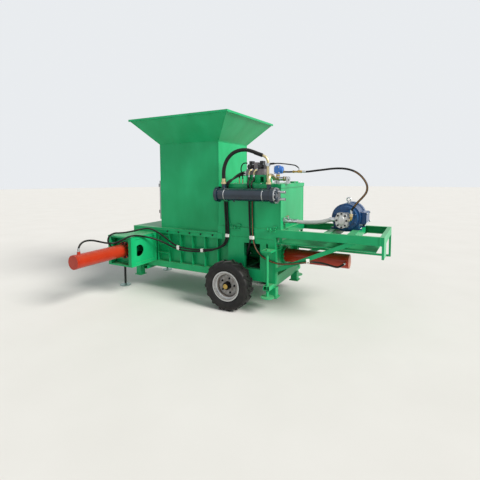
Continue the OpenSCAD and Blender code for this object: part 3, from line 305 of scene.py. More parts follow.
# A bead's middle lies 1 mm off the plates that it joins.
off = 0.001
rib_left, rib_pitch, rib_half = -1.438, 0.228, 0.006
panel_x, panel_y = -0.114, 0.481
seams = []
for side in (-1, 1):
    wall, outer = side * (wall_y + off), side * (half_wide + off)
    for rib_x in [rib_left + rib_pitch * i for i in range(6)]:
        for foot in (rib_x - rib_half, rib_x + rib_half):
            seams.append([(foot, wall, rail_z + 0.002), (foot, wall, top_rail_z - 0.002)])
            seams.append([(foot, side * (wall_y + 0.004), rail_z + off),
                          (foot, side * (half_wide - 0.003), rail_z + off)])
    for z in (top_rail_z - off, rail_z + off):
        seams.append([(rib_left + 0.008, wall, z), (panel_x - 0.006, wall, z)])
    seams.append([(panel_x, side * (panel_y + off), rail_z + 0.003),
                  (panel_x, side * (panel_y + off), top_rail_z - 0.004)])
    seams.append([(chamber_right + off, side * 0.47, top_plate_z - off),
                  (chamber_right + off, side * 0.47, floor_z)])
    seams.append([(rib_left - 0.022, outer, top_plate_z), (chamber_right - 0.002, outer, top_plate_z)])
weld("chamber_welds", "frame", seams)


# Screws are zinc-plated hexagon heads on washers, or blackened ones where the plate is heavy.
# Electroplated zinc: bright and a little blue, clouded where it was handled.
bolt_tree, given = start_tree("hexagon_screw", ("Across", "Height", "Washer"))
corner = put(bolt_tree, "ShaderNodeMath", {0: given["Across"], 1: 0.577}, operation="MULTIPLY")
crown = put(bolt_tree, "ShaderNodeMath", {0: corner.outputs[0], 1: 0.84}, operation="MULTIPLY")
shank = put(bolt_tree, "ShaderNodeMath", {0: given["Height"], 1: 0.8}, operation="MULTIPLY")
cap = put(bolt_tree, "ShaderNodeMath", {0: given["Height"], 1: 0.2}, operation="MULTIPLY")
head = put(bolt_tree, "GeometryNodeMeshCone",
           {"Vertices": 6, "Radius Top": corner.outputs[0], "Radius Bottom": corner.outputs[0],
            "Depth": shank.outputs[0]})
chamfer = put(bolt_tree, "GeometryNodeMeshCone",
              {"Vertices": 6, "Radius Top": crown.outputs[0], "Radius Bottom": corner.outputs[0],
               "Depth": cap.outputs[0]})
lift = put(bolt_tree, "ShaderNodeCombineXYZ", {2: shank.outputs[0]})
raised = put(bolt_tree, "GeometryNodeTransform", {0: chamfer.outputs[0], "Translation": lift.outputs[0]})
half = put(bolt_tree, "ShaderNodeMath", {0: given["Washer"], 1: 0.5}, operation="MULTIPLY")
washer = put(bolt_tree, "GeometryNodeMeshCone",
             {"Vertices": 16, "Radius Top": half.outputs[0], "Radius Bottom": half.outputs[0],
              "Depth": 0.0025})
screw = put(bolt_tree, "GeometryNodeJoinGeometry")
for part in (head, raised, washer):
    bolt_tree.links.new(part.outputs[0], screw.inputs[0])
outward = put(bolt_tree, "GeometryNodeInputNamedAttribute", {"Name": "out"}, data_type="FLOAT_VECTOR")
aim = put(bolt_tree, "FunctionNodeAlignRotationToVector", {"Vector": outward.outputs[0]}, axis="Z")
angle = put(bolt_tree, "FunctionNodeRandomValue", {"Min": 0.0, "Max": 60.0, "Seed": 4}, data_type="FLOAT")
twist = put(bolt_tree, "ShaderNodeCombineXYZ", {2: angle.outputs[1]})
turned_head = put(bolt_tree, "FunctionNodeRotateRotation",
                  {"Rotation": aim.outputs[0], "Rotate By": twist.outputs[0]}, rotation_space="LOCAL")
placed = put(bolt_tree, "GeometryNodeInstanceOnPoints",
             {"Points": given["Geometry"], "Instance": screw.outputs[0],
              "Rotation": turned_head.outputs[0]})
end_tree(bolt_tree, placed, given["Finish"])


def clouded(tree, at, scale, detail, dark, light):
    """Two shades in soft clouds, whose scale is given as clouds per metre: the clouds, and the colour."""
    clouds = put(tree, "ShaderNodeTexNoise", {"Vector": at["Object"], "Scale": scale, "Detail": detail})
    colour = put(tree, "ShaderNodeMix",
                 {0: clouds.outputs[0], 6: linear(dark), 7: linear(light)}, data_type="RGBA")
    return clouds.outputs[0], colour.outputs[2]


def metal(name, dark, light, rough, grain=40.0, bump=0.0003):
    """Bare or plated metal with soft clouds and fine pits."""
    material, tree, at = blank(name)
    cloud, colour = clouded(tree, at, grain, 4.0, dark, light)
    handled = put(tree, "ShaderNodeMapRange", {0: cloud, "From Min": 0.3, "From Max": 0.7,
                                               "To Min": rough * 0.8, "To Max": rough * 1.25})
    rounded = put(tree, "ShaderNodeBevel", {"Radius": 0.0015}, samples=4)
    pits = put(tree, "ShaderNodeTexNoise", {"Vector": at["Object"], "Scale": 8 * grain, "Detail": 2.0})
    skin = put(tree, "ShaderNodeBump", {"Height": pits.outputs[0], "Distance": bump,
                                        "Normal": rounded.outputs[0]})
    surface(tree, Base_Color=colour, Metallic=1.0, Roughness=handled.outputs[0], Normal=skin.outputs[0])
    return material


zinc_plate = metal("zinc_plated_steel", "#a9adb0", "#cdd0d2", 0.3)
black_oxide = metal("blackened_steel", "#26282a", "#3a3c3d", 0.45)


def screws(name, body, places, across=0.024, height=0.013, washer=0.034, finish=zinc_plate,
           slot="zinc_steel"):
    """Screw heads at places; each place is a point and the way its head looks."""
    marks = bpy.data.meshes.new(name + "_marks")
    marks.from_pydata([spot(*p) for p, out in places], [], [])
    ways = marks.attributes.new("out", "FLOAT_VECTOR", "POINT")
    ways.data.foreach_set("vector", [c for p, out in places for c in out])
    return grow(name, marks, bolt_tree, body, slot, Across=across, Height=height, Washer=washer,
                Finish=finish)


screws("top_flange_screws", "frame",
       [((x, side * half_wide, 0.992), (0, side, 0)) for side in (-1, 1)
        for x in (-1.233, -1.012, -0.799, -0.594, -0.379)],
       across=0.022, washer=0.030, finish=black_oxide, slot="black_iron")


def block(shape, low, high, edge=0.002):
    """Adds a bar or a plate between two corners, with its edges eased."""
    low, high = spot(*low), spot(*high)
    size = Matrix.Diagonal((*(high - low), 1))
    made = bmesh.ops.create_cube(shape, size=1, matrix=Matrix.Translation((low + high) / 2) @ size)["verts"]
    edges = list(dict.fromkeys(e for v in made for e in v.link_edges))
    bmesh.ops.bevel(shape, geom=edges, offset=edge, segments=1, affect="EDGES")


def skin_rings(shape, rings, closed=False):
    """Adds the faces between rings of corners, and the two ends unless the last ring meets the first."""
    sides = len(rings[0])
    for a, b in zip(rings, rings[1:] + rings[:1] if closed else rings[1:]):
        for i in range(sides):
            shape.faces.new((a[i], a[i - 1], b[i - 1], b[i]))
    if not closed:
        shape.faces.new(rings[0])
        shape.faces.new(rings[-1][::-1])


def turned(shape, start, along, profile, sides=24, hollow=False):
    """Adds a turned piece; its profile gives distances along the axis and radii, all round if hollow."""
    axis = Vector(along).normalized()
    side = axis.orthogonal().normalized()
    other = axis.cross(side)
    around = [2 * math.pi * i / sides for i in range(sides)]
    rings = []
    for far, radius in profile:
        rings.append([shape.verts.new(spot(*start) + axis * far
                                      + (side * math.cos(a) + other * math.sin(a)) * radius)
                      for a in around])
    skin_rings(shape, rings, closed=hollow)


def piece(shape, name, finish, body):
    """A finished mesh as a piece of the machine that rides on a body."""
    bmesh.ops.recalc_face_normals(shape, faces=shape.faces)
    mesh = bpy.data.meshes.new(name)
    shape.to_mesh(mesh)
    shape.free()
    mesh.materials.append(finish)
    mesh.shade_smooth()
    mesh.set_sharp_from_angle(angle=math.radians(34))
    return mount(name, mesh, body)


# Small plates stiffen the place where the platform's beams start, and a stub of tube stands on each
# side of the recessed end wall.
shape = bmesh.new()
to_right = (1, 0, 0)
stub_x, stub_y, stub_z, stub_r = 0.572, 0.378, 0.884, 0.038
for side in (-1, 1):
    y = sorted((side * 0.494, side * 0.502))
    block(shape, (-0.297, y[0], 0.952), (-0.199, y[1], 1.036))
    turned(shape, (stub_x, side * stub_y, stub_z), to_right,
           [(0, stub_r), (0.060, stub_r), (0.062, 0.036), (0.062, 0.029), (0.03, 0.028)], 32)
piece(shape, "beam_foot_plates", green_enamel, "frame")


# Bale door
# A thick plate that closes the outlet on the far side and swings on a pin; six flat bars stiffen it.
# Green enamel over the same plate, with a lever that wedges it shut against the outlet's post.
dress(green_enamel, "outlet_door")
door_y, bar_out, bar_wide = 0.5435, 0.0205, 0.014
door_left, door_right = -1.90, -1.53
bar_z = (0.47, 0.62, 0.80, 0.95)
to_far = (0, 1, 0)
lever_x, lever_z = -1.49, 0.72
shape = bmesh.new()
for z in bar_z:
    block(shape, (door_left, door_y, z), (door_right, door_y + bar_out, z + bar_wide))
for x in (-1.88, -1.56):
    block(shape, (x, door_y, 0.45), (x + bar_wide, door_y + bar_out, 0.99))
turned(shape, (lever_x, door_y, lever_z), to_far, [(0, 0.030), (0.018, 0.030), (0.020, 0.027)])
block(shape, (lever_x - 0.012, 0.5635, 0.55), (lever_x + 0.012, 0.5775, 0.745), 0.004)
piece(shape, "door_bars_and_lever", green_enamel, "bale_door")
weld("door_welds", "bale_door",
     [[(door_left, door_y + 0.0005, z - off), (door_right, door_y + 0.0005, z - off)] for z in bar_z],
     radius=0.004)
screws("lever_screw", "bale_door", [((lever_x, 0.577, lever_z), to_far)], across=0.030, height=0.016,
       washer=0.044)


# Push-out ram
# A box of plate holds a hydraulic cylinder; its platen pushes the finished bale out on the far side.
# The box is green like the press, and the platen's face is scoured like the floor.
bay_right, box_y = -1.475, -1.041
ejector_x, ejector_z, ejector_cap_y = -1.7195, 0.7265, -1.812
mount_y = -0.954
dress(green_enamel, "eject_housing")
dress(scoured("scoured_push_out_face", 1, 1), "eject_platen")
seams = []
for x, out in ((chamber_left, -1), (bay_right, 1)):
    edge = x + out * off
    seams.append([(edge, box_y + off, rail_z + off), (edge, -0.946, rail_z + off)])
    for z in (rail_z + 0.002, top_rail_z - 0.002):
        seams.append([(x, -half_wide - 0.002, z), (x, box_y + 0.002, z)])
    seams.append([(edge, -half_wide - off, 0.50), (edge, -half_wide - off, 0.952)])
weld("push_out_welds", "frame", seams, radius=0.005)

# Cylinder tubes are honed steel with a welded cap and a bolted flange, sprayed in glossy red.
# Enamel straight from the gun: deep, glossy and cleaner than the rest.
fresh_red, faded_red = "#a02812", "#b2371e"
gun_gloss = {"dust": 0.12, "chips": 0.35, "gloss": 0.24, "coat": 0.15}
red_enamel = enamel("alkyd_enamel_red", fresh_red, faded_red, **gun_gloss)
# The end inside the housing was sprayed green with it.
dress(enamel("alkyd_enamel_red_green_nose", fresh_red, faded_red, **gun_gloss,
             green=(1, "GREATER_THAN", mount_y + middle_y + 0.0245)), "eject_barrel")

# Rods are ground and hard chromed, mirror bright, with fine rings left by the gland.
# Hard chrome: nearly colourless, roughness of a ground shaft, scratches 2 mm apart drawn at 6 mm.
hard_chrome, tree, at = blank("hard_chrome")
fine = put(tree, "ShaderNodeMapping", {"Vector": at["Object"], "Scale": (160, 160, 160)})
rings = put(tree, "ShaderNodeTexNoise", {"Vector": fine.outputs[0], "Scale": 1.0, "Detail": 2.0})
film = put(tree, "ShaderNodeMapRange", {0: rings.outputs[0], "To Min": 0.08, "To Max": 0.2})
tone = put(tree, "ShaderNodeMix",
           {0: rings.outputs[0], 6: linear("#b9bdc1"), 7: linear("#d3d6d9")}, data_type="RGBA")
surface(tree, Base_Color=tone.outputs[2], Metallic=1.0, Roughness=film.outputs[0])
dress(hard_chrome, "eject_rod", "press_rod")


def ring_of(centre, along, radius, count, start=0.0):
    """Places round a circle, all looking along its axis."""
    axis = Vector(along).normalized()
    side = axis.orthogonal().normalized()
    other = axis.cross(side)
    turns = [math.radians(start) + 2 * math.pi * i / count for i in range(count)]
    return [(Vector(centre) + (side * math.cos(t) + other * math.sin(t)) * radius, axis) for t in turns]


def ring_weld(centre, along, radius, sides=40):
    """A closed path round a circle."""
    path = [p for p, out in ring_of(centre, along, radius, sides)]
    return path + path[:1]


barrel_r = 0.098
to_near = (0, -1, 0)
screws("push_out_flange_screws", "frame",
       ring_of((ejector_x, mount_y, ejector_z), to_near, 0.113, 10, 18), finish=black_oxide,
       slot="black_iron")
weld("push_out_cap_weld", "frame", [ring_weld((ejector_x, ejector_cap_y, ejector_z), to_far, barrel_r)],
     radius=0.003, paint=red_enamel, slot="red_paint")


# Press ram
# A long cylinder lies along the machine under the platform, and its platen packs the straw into the bay.
# Its flange is green like the wall that it is bolted to, and its cap's end face is painted a paler red:
# painted light for sun on that face, with chips.
press_z, press_mount_x, press_cap_x = 0.700, 0.594, 1.5085
dress(enamel("alkyd_enamel_red_green_flange", fresh_red, faded_red, **gun_gloss,
             green=(0, "LESS_THAN", press_mount_x + axle_x + 0.0007)), "press_barrel")
dress(scoured("scoured_press_face", 0, -1), "press_platen")
screws("press_flange_screws", "frame",
       ring_of((press_mount_x, 0, press_z), to_right, 0.114, 12, 15), finish=green_enamel,
       slot="green_paint")
weld("press_cap_weld", "frame", [ring_weld((1.484, 0, press_z), to_right, barrel_r)], radius=0.003,
     paint=red_enamel, slot="red_paint")
# The cap's end face is a paler red as painted sunlight; its many chips are wear.
sunlit_cap_red = enamel("red_enamel_painted_sunlight", "#b0604a", "#c58a74", chips=0.8, gloss=0.4)
shape = bmesh.new()
turned(shape, (press_cap_x, 0, press_z), to_right, [(0, 0.0955), (0.0020, 0.0955), (0.0025, 0.0945)], 64)
piece(shape, "press_cap_face", sunlit_cap_red, "frame")


# Hopper
# A column and a flared rim of 8 mm sheet, welded at the corners, with the rim's edge folded down.
# The sheet is a little wavy between its welds, which the enamel's shine shows.
column_left, column_right, column_y = -1.384, -0.287, 0.452
column_top = 2.378
flare_x, flare_y, fold_z = 0.3168, 0.3039, 2.7215
dress(green_enamel, "hopper_column", "hopper_flare")
corners = [(column_left, -column_y, -flare_x, -flare_y), (column_left, column_y, -flare_x, flare_y),
           (column_right, -column_y, flare_x, -flare_y), (column_right, column_y, flare_x, flare_y)]
seams = [[(x, y, 1.045), (x, y, column_top), (x + out_x, y + out_y, fold_z)]
         for x, y, out_x, out_y in corners]
seams += [[(column_left, -column_y, z), (column_right, -column_y, z), (column_right, column_y, z),
           (column_left, column_y, z), (column_left, -column_y, z)] for z in (1.042, column_top)]
weld("hopper_welds", "frame", seams)


# Control cabinet
# A sheet steel case on the left wall of the hopper column, with a door, a lock and buttons for the rams.
# Powder coat: pale grey with a fine orange peel, soft gloss and hardly any wear.
powder_coat, tree, at = blank("powder_coat_pale_grey")
tone = clouded(tree, at, 3.0, 3.0, "#a9b1b0", "#bcc3c1")[1]
peel = put(tree, "ShaderNodeTexNoise", {"Vector": at["Object"], "Scale": 260.0, "Detail": 1.0})
soft = put(tree, "ShaderNodeBevel", {"Radius": 0.003}, samples=4)
skin = put(tree, "ShaderNodeBump", {"Height": peel.outputs[0], "Distance": 0.0005,
                                    "Normal": soft.outputs[0]})
surface(tree, Base_Color=tone, Roughness=0.42, Normal=skin.outputs[0])
dress(powder_coat, "cabinet_box", "cabinet_door")


def moulded(name, dark, light, rough=0.5, grain=60.0):
    """Moulded plastic or rubber: even, with a fine grain."""
    material, tree, at = blank(name)
    cloud, tone = clouded(tree, at, grain, 3.0, dark, light)
    skin = put(tree, "ShaderNodeBump", {"Height": cloud, "Distance": 0.0004, "Strength": 0.6})
    surface(tree, Base_Color=tone, Roughness=rough, Normal=skin.outputs[0])
    return material


# Black polyamide makes two hinges, the lock and its grip, four buttons and three cable glands below.
black_plastic = moulded("black_polyamide", "#17181a", "#26282a", 0.45)
cabinet_face, cabinet_bottom = -1.6345, 1.1345
to_left, down = (-1, 0, 0), (0, 0, -1)
shape = bmesh.new()
for z in (1.24, 1.69):
    turned(shape, (-1.640, -0.207, z), up, [(0, 0.006), (0.055, 0.006)], 12)
turned(shape, (cabinet_face, 0.262, 1.46), to_left, [(0, 0.016), (0.010, 0.016), (0.012, 0.013)], 20)
block(shape, (-1.662, 0.256, 1.428), (-1.646, 0.268, 1.492), 0.003)
for y in (-0.10, -0.02, 0.06, 0.14):
    turned(shape, (cabinet_face, y, 1.62), to_left,
           [(0, 0.019), (0.006, 0.019), (0.008, 0.014), (0.016, 0.014), (0.018, 0.012)], 20)
for y in (-0.06, 0.04, 0.14):
    turned(shape, (-1.48, y, cabinet_bottom), down,
           [(0, 0.020), (0.012, 0.020), (0.014, 0.014), (0.034, 0.013), (0.036, 0.010)], 16)
piece(shape, "cabinet_fittings", black_plastic, "frame")


# Platform
# Two rolled channels, cross members, an end beam with its towing plate, a tray and flat braces, all welded.
# The towing plate has two bolt holes for the drawbar, rimmed with bright steel where bolts turned.
dress(green_enamel, "beam_near", "beam_far", "platform_cross", "tow_frame", "braces")
# The tray is walked on and oily, so its green has gone matt and is even.
dress(enamel("alkyd_enamel_green_tray", dust=0.1, gloss=0.7), "drip_plate")
beam_bottom, beam_top = 1.040, 1.143
end_beam_x, tow_plate_x = 1.935, 1.959
gusset_y, gusset_back, gusset_front, gusset_top = 0.489, -0.284, -0.055, 1.600
seams = []
for member_x, half in ((0.695, 0.030), (1.310, 0.040), (1.600, 0.040)):
    for edge in (member_x - half - off, member_x + half + off):
        seams.append([(edge, -0.442, beam_top), (edge, 0.442, beam_top)])
        for side in (-1, 1):
            seams.append([(edge, side * 0.444, beam_bottom + 0.004), (edge, side * 0.444, beam_top - 0.003)])
seams.append([(end_beam_x + off, -half_wide - off, beam_bottom + 0.002),
              (end_beam_x + off, -half_wide - off, beam_top - 0.002)])
seams.append([(tow_plate_x - 0.0005, -0.490, beam_bottom - off),
              (tow_plate_x - 0.0005, -0.235, beam_bottom - off)])
for side in (-1, 1):
    outer, inner = side * (half_wide + off), side * gusset_y
    seams.append([(chamber_right + off, outer, 0.560), (chamber_right + off, outer, 0.612)])
    seams.append([(1.560, outer, beam_bottom + off), (1.672, outer, beam_bottom + off)])
    seams.append([(gusset_back, inner, 1.146), (gusset_back, inner, gusset_top)])
    seams.append([(gusset_back + 0.004, inner + side * 0.0005, 1.1445),
                  (gusset_front, inner + side * 0.0005, 1.1445)])
weld("platform_welds", "frame", seams)
shape = bmesh.new()
for y in (-0.425, -0.300):
    turned(shape, (tow_plate_x, y, 0.955), to_left, [(0, 0.021), (0.004, 0.021), (0.005, 0.019)], 24)
piece(shape, "drawbar_hole_rings", zinc_plate, "frame")


# Oil tank
# A box of folded sheet under a lid that is screwed down, with a level glass and a cleaning cover.
# Same enamel, cleaner than the chamber: no bale rubs it, but oil dulls it round the fillers.
tank_left, tank_right, tank_y, lid_z = -0.190, 0.695, 0.480, 1.7595
tank_foot = 1.1450
cover_x, cover_z = 0.35, 1.42
tank_enamel = enamel("alkyd_enamel_green_tank", dust=0.4, chips=0.35, gloss=0.3)
dress(tank_enamel, "tank", "tank_lid", "pedestal", "cooler_saddles")
seams = [[(x, y, 1.148), (x, y, 1.745)] for x in (tank_left, tank_right) for y in (-tank_y, tank_y)]
seams.append([(tank_right + 0.0005, -tank_y + 0.002, tank_foot),
              (tank_right + 0.0005, tank_y - 0.002, tank_foot)])
seams += [[(tank_left + 0.004, side * (tank_y + off), tank_foot),
           (tank_right - 0.005, side * (tank_y + off), tank_foot)] for side in (-1, 1)]
weld("tank_welds", "frame", seams, radius=0.004, paint=tank_enamel)
places = [((x, y, lid_z), up) for y in (-0.470, 0.470) for x in (-0.16, -0.02, 0.12, 0.26, 0.40, 0.54, 0.67)]
places += [((x, y, lid_z), up) for x in (-0.182, 0.687) for y in (-0.32, -0.11, 0.11, 0.32)]
screws("lid_screws", "frame", places, across=0.017, height=0.009, washer=0.026)

# The filler has a black cap on a short neck, and a level glass sits on the far side.
shape = bmesh.new()
turned(shape, (0.10, 0.22, lid_z), up,
       [(0, 0.034), (0.020, 0.034), (0.021, 0.042), (0.052, 0.042), (0.060, 0.036)], 28)
block(shape, (-0.02, tank_y + 0.0005, 1.49), (0.02, tank_y + 0.0075, 1.65), 0.003)
piece(shape, "filler_cap_and_level", black_plastic, "frame")

# Round covers close holes in the lid and the far wall; lugs, studs and clips hold the tank's feet down.
lug_low, lug_high = 1.1310, 1.1400
shape = bmesh.new()
for x in (-0.010, 0.540):
    for side in (-1, 1):
        y = sorted((side * 0.4825, side * 0.5270))
        block(shape, (x - 0.050, y[0], lug_low), (x + 0.040, y[1], lug_high))
        y = sorted((side * 0.4935, side * 0.5060))
        block(shape, (x + 0.052, y[0], 1.1000), (x + 0.066, y[1], 1.1890))
        block(shape, (x + 0.066, y[0], 1.1620), (x + 0.106, y[1], 1.1890))
        block(shape, (x + 0.066, y[0], 1.1000), (x + 0.096, y[1], 1.1240))
block(shape, (-0.193, -0.5010, 1.0405), (-0.158, -0.4935, 1.1480))
turned(shape, (cover_x, tank_y + 0.0005, cover_z), to_far, [(0, 0.125), (0.007, 0.125), (0.008, 0.123)], 48)
turned(shape, (0.61, 0.30, lid_z), up, [(0, 0.064), (0.022, 0.064), (0.024, 0.061)], 48)
piece(shape, "tank_clips_and_covers", tank_enamel, "frame")
places = [((x, side * 0.509, z), (0, 0, out)) for side in (-1, 1) for x in (-0.034, 0.008, 0.516, 0.558)
          for z, out in ((lug_high, 1), (lug_low, -1))]
places += [((x, side * 0.4935, 1.1430), (0, side, 0)) for side in (-1, 1) for x in (0.076, 0.626)]
screws("tank_clip_bolts", "frame", places, across=0.021, height=0.020, washer=0.030, finish=green_enamel,
       slot="green_paint")
screws("cover_screws", "frame", ring_of((cover_x, tank_y + 0.0085, cover_z), to_far, 0.108, 8, 22.5),
       across=0.014, height=0.008, washer=0.022)


# Valve stack
# Directional valves, bolted on a block, with solenoids at their ends; the block carries the hose elbows.
# Phosphated cast iron: nearly black, matt and oily, a little brown where it is handled.
# The base and the block between the valves are left grey-brown, so the castings stand out from the coils.
base_top, relief_x = 1.9665, 0.247
stack_iron, tree, at = blank("phosphated_iron_and_grey_block")
where = put(tree, "ShaderNodeSeparateXYZ", {0: at["Object"]}).outputs
base = put(tree, "ShaderNodeMath", {0: where[2], 1: base_top + 0.0005}, operation="LESS_THAN")
aside = put(tree, "ShaderNodeMath", {0: where[0], 1: relief_x + axle_x}, operation="SUBTRACT")
middle = put(tree, "ShaderNodeMath", {0: aside.outputs[0], 1: 0.0, 2: 0.0345}, operation="COMPARE")
pale = put(tree, "ShaderNodeMath", {0: base.outputs[0], 1: middle.outputs[0]}, operation="MAXIMUM")
cloud, dark = clouded(tree, at, 24.0, 4.0, "#242224", "#3b3839")
grey = put(tree, "ShaderNodeMix", {0: cloud, 6: linear("#655f61"), 7: linear("#8d878a")}, data_type="RGBA")
tone = put(tree, "ShaderNodeMix", {0: pale.outputs[0], 6: dark, 7: grey.outputs[2]}, data_type="RGBA")
pits = put(tree, "ShaderNodeTexNoise", {"Vector": at["Object"], "Scale": 200.0, "Detail": 2.0})
skin = put(tree, "ShaderNodeBump", {"Height": pits.outputs[0], "Distance": 0.0006})
surface(tree, Base_Color=tone.outputs[2], Metallic=0.35, Roughness=0.48, Normal=skin.outputs[0])
dress(stack_iron, "valve_stack")
shape = bmesh.new()
for x in (0.163, 0.331):
    for y, out in ((-0.3455, -1), (-0.1445, 1)):
        turned(shape, (x, y, 2.000), (0, out, 0), [(0, 0.0265), (0.016, 0.0265), (0.020, 0.014)], 20)
    block(shape, (x - 0.026, -0.300, 2.024), (x + 0.026, -0.210, 2.082), 0.005)
    turned(shape, (x, -0.300, 2.058), to_near, [(0, 0.010), (0.022, 0.010)], 12)
piece(shape, "solenoid_plugs", black_plastic, "frame")
places = [((x, y, 2.0285), up) for left in (0.119, 0.287) for x in (left + 0.010, left + 0.078)
          for y in (-0.306, -0.178)]
places += [((x, y, base_top), up) for x in (0.207, 0.287) for y in (-0.325, -0.165)]
screws("valve_screws", "frame", places, across=0.014, height=0.009, washer=0.018)

# The filter pipe is drawn tube in two clamps; brass unions close its joints.
# Plain brass: yellow, soft gloss, browned by handling.
filter_y, filter_z, tube_r = -0.31, 1.827, 0.0272
brass = metal("brass", "#9d8343", "#c4a762", 0.32)
dress(zinc_plate, "filter")
shape = bmesh.new()
for x in (0.590, 0.668, 0.700):
    turned(shape, (x, filter_y, filter_z), to_right,
           [(0, tube_r), (0.001, 0.034), (0.017, 0.034), (0.018, tube_r)], 6)
turned(shape, (0.588, filter_y, 1.862), up, [(0, 0.0228), (0.001, 0.030), (0.022, 0.030), (0.024, 0.0228)], 6)
piece(shape, "brass_unions", brass, "frame")

# The blue valve is a casting in glossy blue, with a round cover on its end and a flat one on top.
blue_enamel = enamel("alkyd_enamel_bright_blue", "#1c5fb8", "#3f86d6", dust=0.1, chips=0.3, gloss=0.25,
                     coat=0.5)
dress(blue_enamel, "blue_valve")
shape = bmesh.new()
turned(shape, (0.6575, -0.302, 1.949), to_right, [(0, 0.043), (0.004, 0.036), (0.006, 0.020)], 32)
block(shape, (0.560, -0.330, 2.0035), (0.615, -0.274, 2.012), 0.003)
piece(shape, "blue_valve_covers", blue_enamel, "frame")
screws("blue_valve_screws", "frame",
       [((x, -0.3545, z), to_near) for x in (0.557, 0.618) for z in (1.910, 1.990)],
       across=0.013, height=0.009, washer=0.016)


# Pipes are swept along their routes, with the ends closed by nuts.
# The tree spaces the points of a path evenly and sweeps a ring with the pipe's radius along it.
pipe_tree, given = start_tree("swept_pipe", ("Radius", "Step"), ("Sides",))
route = put(pipe_tree, "GeometryNodeMeshToCurve", {"Mesh": given["Geometry"]})
even = put(pipe_tree, "GeometryNodeResampleCurve", {"Curve": route.outputs[0], "Length": given["Step"]},
           mode="LENGTH")
ring = put(pipe_tree, "GeometryNodeCurvePrimitiveCircle",
           {"Resolution": given["Sides"], "Radius": given["Radius"]})
tube = put(pipe_tree, "GeometryNodeCurveToMesh",
           {"Curve": even.outputs[0], "Profile Curve": ring.outputs[0], "Fill Caps": True})
soft = put(pipe_tree, "GeometryNodeSetShadeSmooth", {"Geometry": tube.outputs[0]})
end_tree(pipe_tree, soft, given["Finish"])


def smooth(points, parts=8):
    """A smooth line through points that leaves its ends squarely."""
    line = [Vector(p) for p in points]
    full = [2 * line[0] - line[1], *line, 2 * line[-1] - line[-2]]
    path = []
    for a, b, c, d in zip(full, full[1:], full[2:], full[3:]):
        for i in range(parts):
            t = i / parts
            path.append(0.5 * (2 * b + (c - a) * t + (2 * a - 5 * b + 4 * c - d) * t ** 2
                               + (3 * b - a - 3 * c + d) * t ** 3))
    return path + [line[-1]]


def pipes(name, routes, radius, finish, slot="hose_rubber", step=0.012, sides=16):
    """Round pipes or hoses of the frame along their routes, in one piece."""
    paths = strands(name, [smooth(route) for route in routes])
    return grow(name, paths, pipe_tree, "frame", slot, Radius=radius, Step=step, Sides=sides, Finish=finish)


# Oil fittings
# Steel pipes, elbows, hexagon nuts, a pressure line and a ball valve; the plain ones are zinc plated.
# Passivated zinc with a warm tone on the hose ends, where it reads as pale beige.
beige_zinc = metal("yellow_passivated_zinc", "#b3a27a", "#d2c59e", 0.35)
return_x, return_y = 0.454, -0.35
pressure_y, pressure_z = -0.3, 1.922
pump_port_x, pump_port_y = 1.571, -0.296
hose_tail_x = (0.172, 0.248)
pipes("return_elbow",
      [[(0.331, -0.388, 2.1725), (0.372, -0.370, 2.156), (0.410, -0.358, 2.138),
        (0.438, -0.351, 2.112), (0.452, return_y, 2.080), (return_x, return_y, 2.045)]], 0.0180, beige_zinc,
      "zinc_steel")
pipes("cooler_elbow",
      [[(0.576, -0.602, 1.7573), (0.576, -0.602, 1.785), (0.576, -0.600, 1.825),
        (0.575, -0.585, 1.856), (0.572, -0.550, 1.873), (0.567, -0.490, 1.874),
        (0.563, -0.430, 1.860), (0.561, -0.385, 1.834), (0.561, -0.340, 1.834)]], 0.0248, beige_zinc,
      "zinc_steel")
pipes("hose_tails",
      [[(x + 0.030, -0.3355, 1.955), (x + 0.029, -0.352, 1.955), (x + 0.022, -0.368, 1.946),
        (x + 0.010, -0.374, 1.925), (x + 0.002, -0.373, 1.900), (x, -0.372, 1.884),
        (x, -0.372, 1.862)] for x in hose_tail_x], 0.0125, beige_zinc, "zinc_steel")
pipes("drain_tails",
      [[(-0.015, -0.316, lid_z), (-0.015, -0.316, 1.80), (-0.014, -0.316, 1.835)],
       [(0.033, -0.303, lid_z), (0.033, -0.303, 1.79), (0.034, -0.303, 1.822)]],
      0.0090, beige_zinc, "zinc_steel")
shape = bmesh.new()
turned(shape, (return_x, return_y, lid_z), up,
       [(0, 0.034), (0.012, 0.034), (0.014, 0.0195), (0.250, 0.0190)], 24)
piece(shape, "return_drop_pipe", beige_zinc, "frame")

# Zinc-plated nuts close the elbows, and the suction port's flange, stop valve and nipple stand in a row.
shape = bmesh.new()
turned(shape, (return_x, return_y, 1.9995), up,
       [(0, 0.024), (0.002, 0.0300), (0.043, 0.0300), (0.045, 0.022)], 6)
turned(shape, (return_x + 0.008, return_y, 2.022), to_right,
       [(0, 0.018), (0.002, 0.0210), (0.024, 0.0210), (0.026, 0.014)], 6)
for x in hose_tail_x:
    turned(shape, (x + 0.030, -0.3345, 1.955), to_near,
           [(0, 0.017), (0.002, 0.0195), (0.012, 0.0195), (0.014, 0.016)], 6)
block(shape, (0.097, -0.345, 1.866), (0.1107, -0.300, 1.942), 0.003)
turned(shape, (0.6955, return_y, 1.256), to_right,
       [(0, 0.044), (0.008, 0.044), (0.009, 0.030), (0.024, 0.030), (0.025, 0.034), (0.046, 0.034),
        (0.047, 0.028), (0.074, 0.028), (0.075, 0.034), (0.096, 0.034), (0.097, 0.029), (0.1195, 0.029)], 24)
turned(shape, (0.7555, return_y, 1.284), up, [(0, 0.012), (0.030, 0.012), (0.031, 0.009), (0.040, 0.009)], 16)
fittings = piece(shape, "pipes_and_nuts", zinc_plate, "frame")
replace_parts(fittings, "oil_fittings")

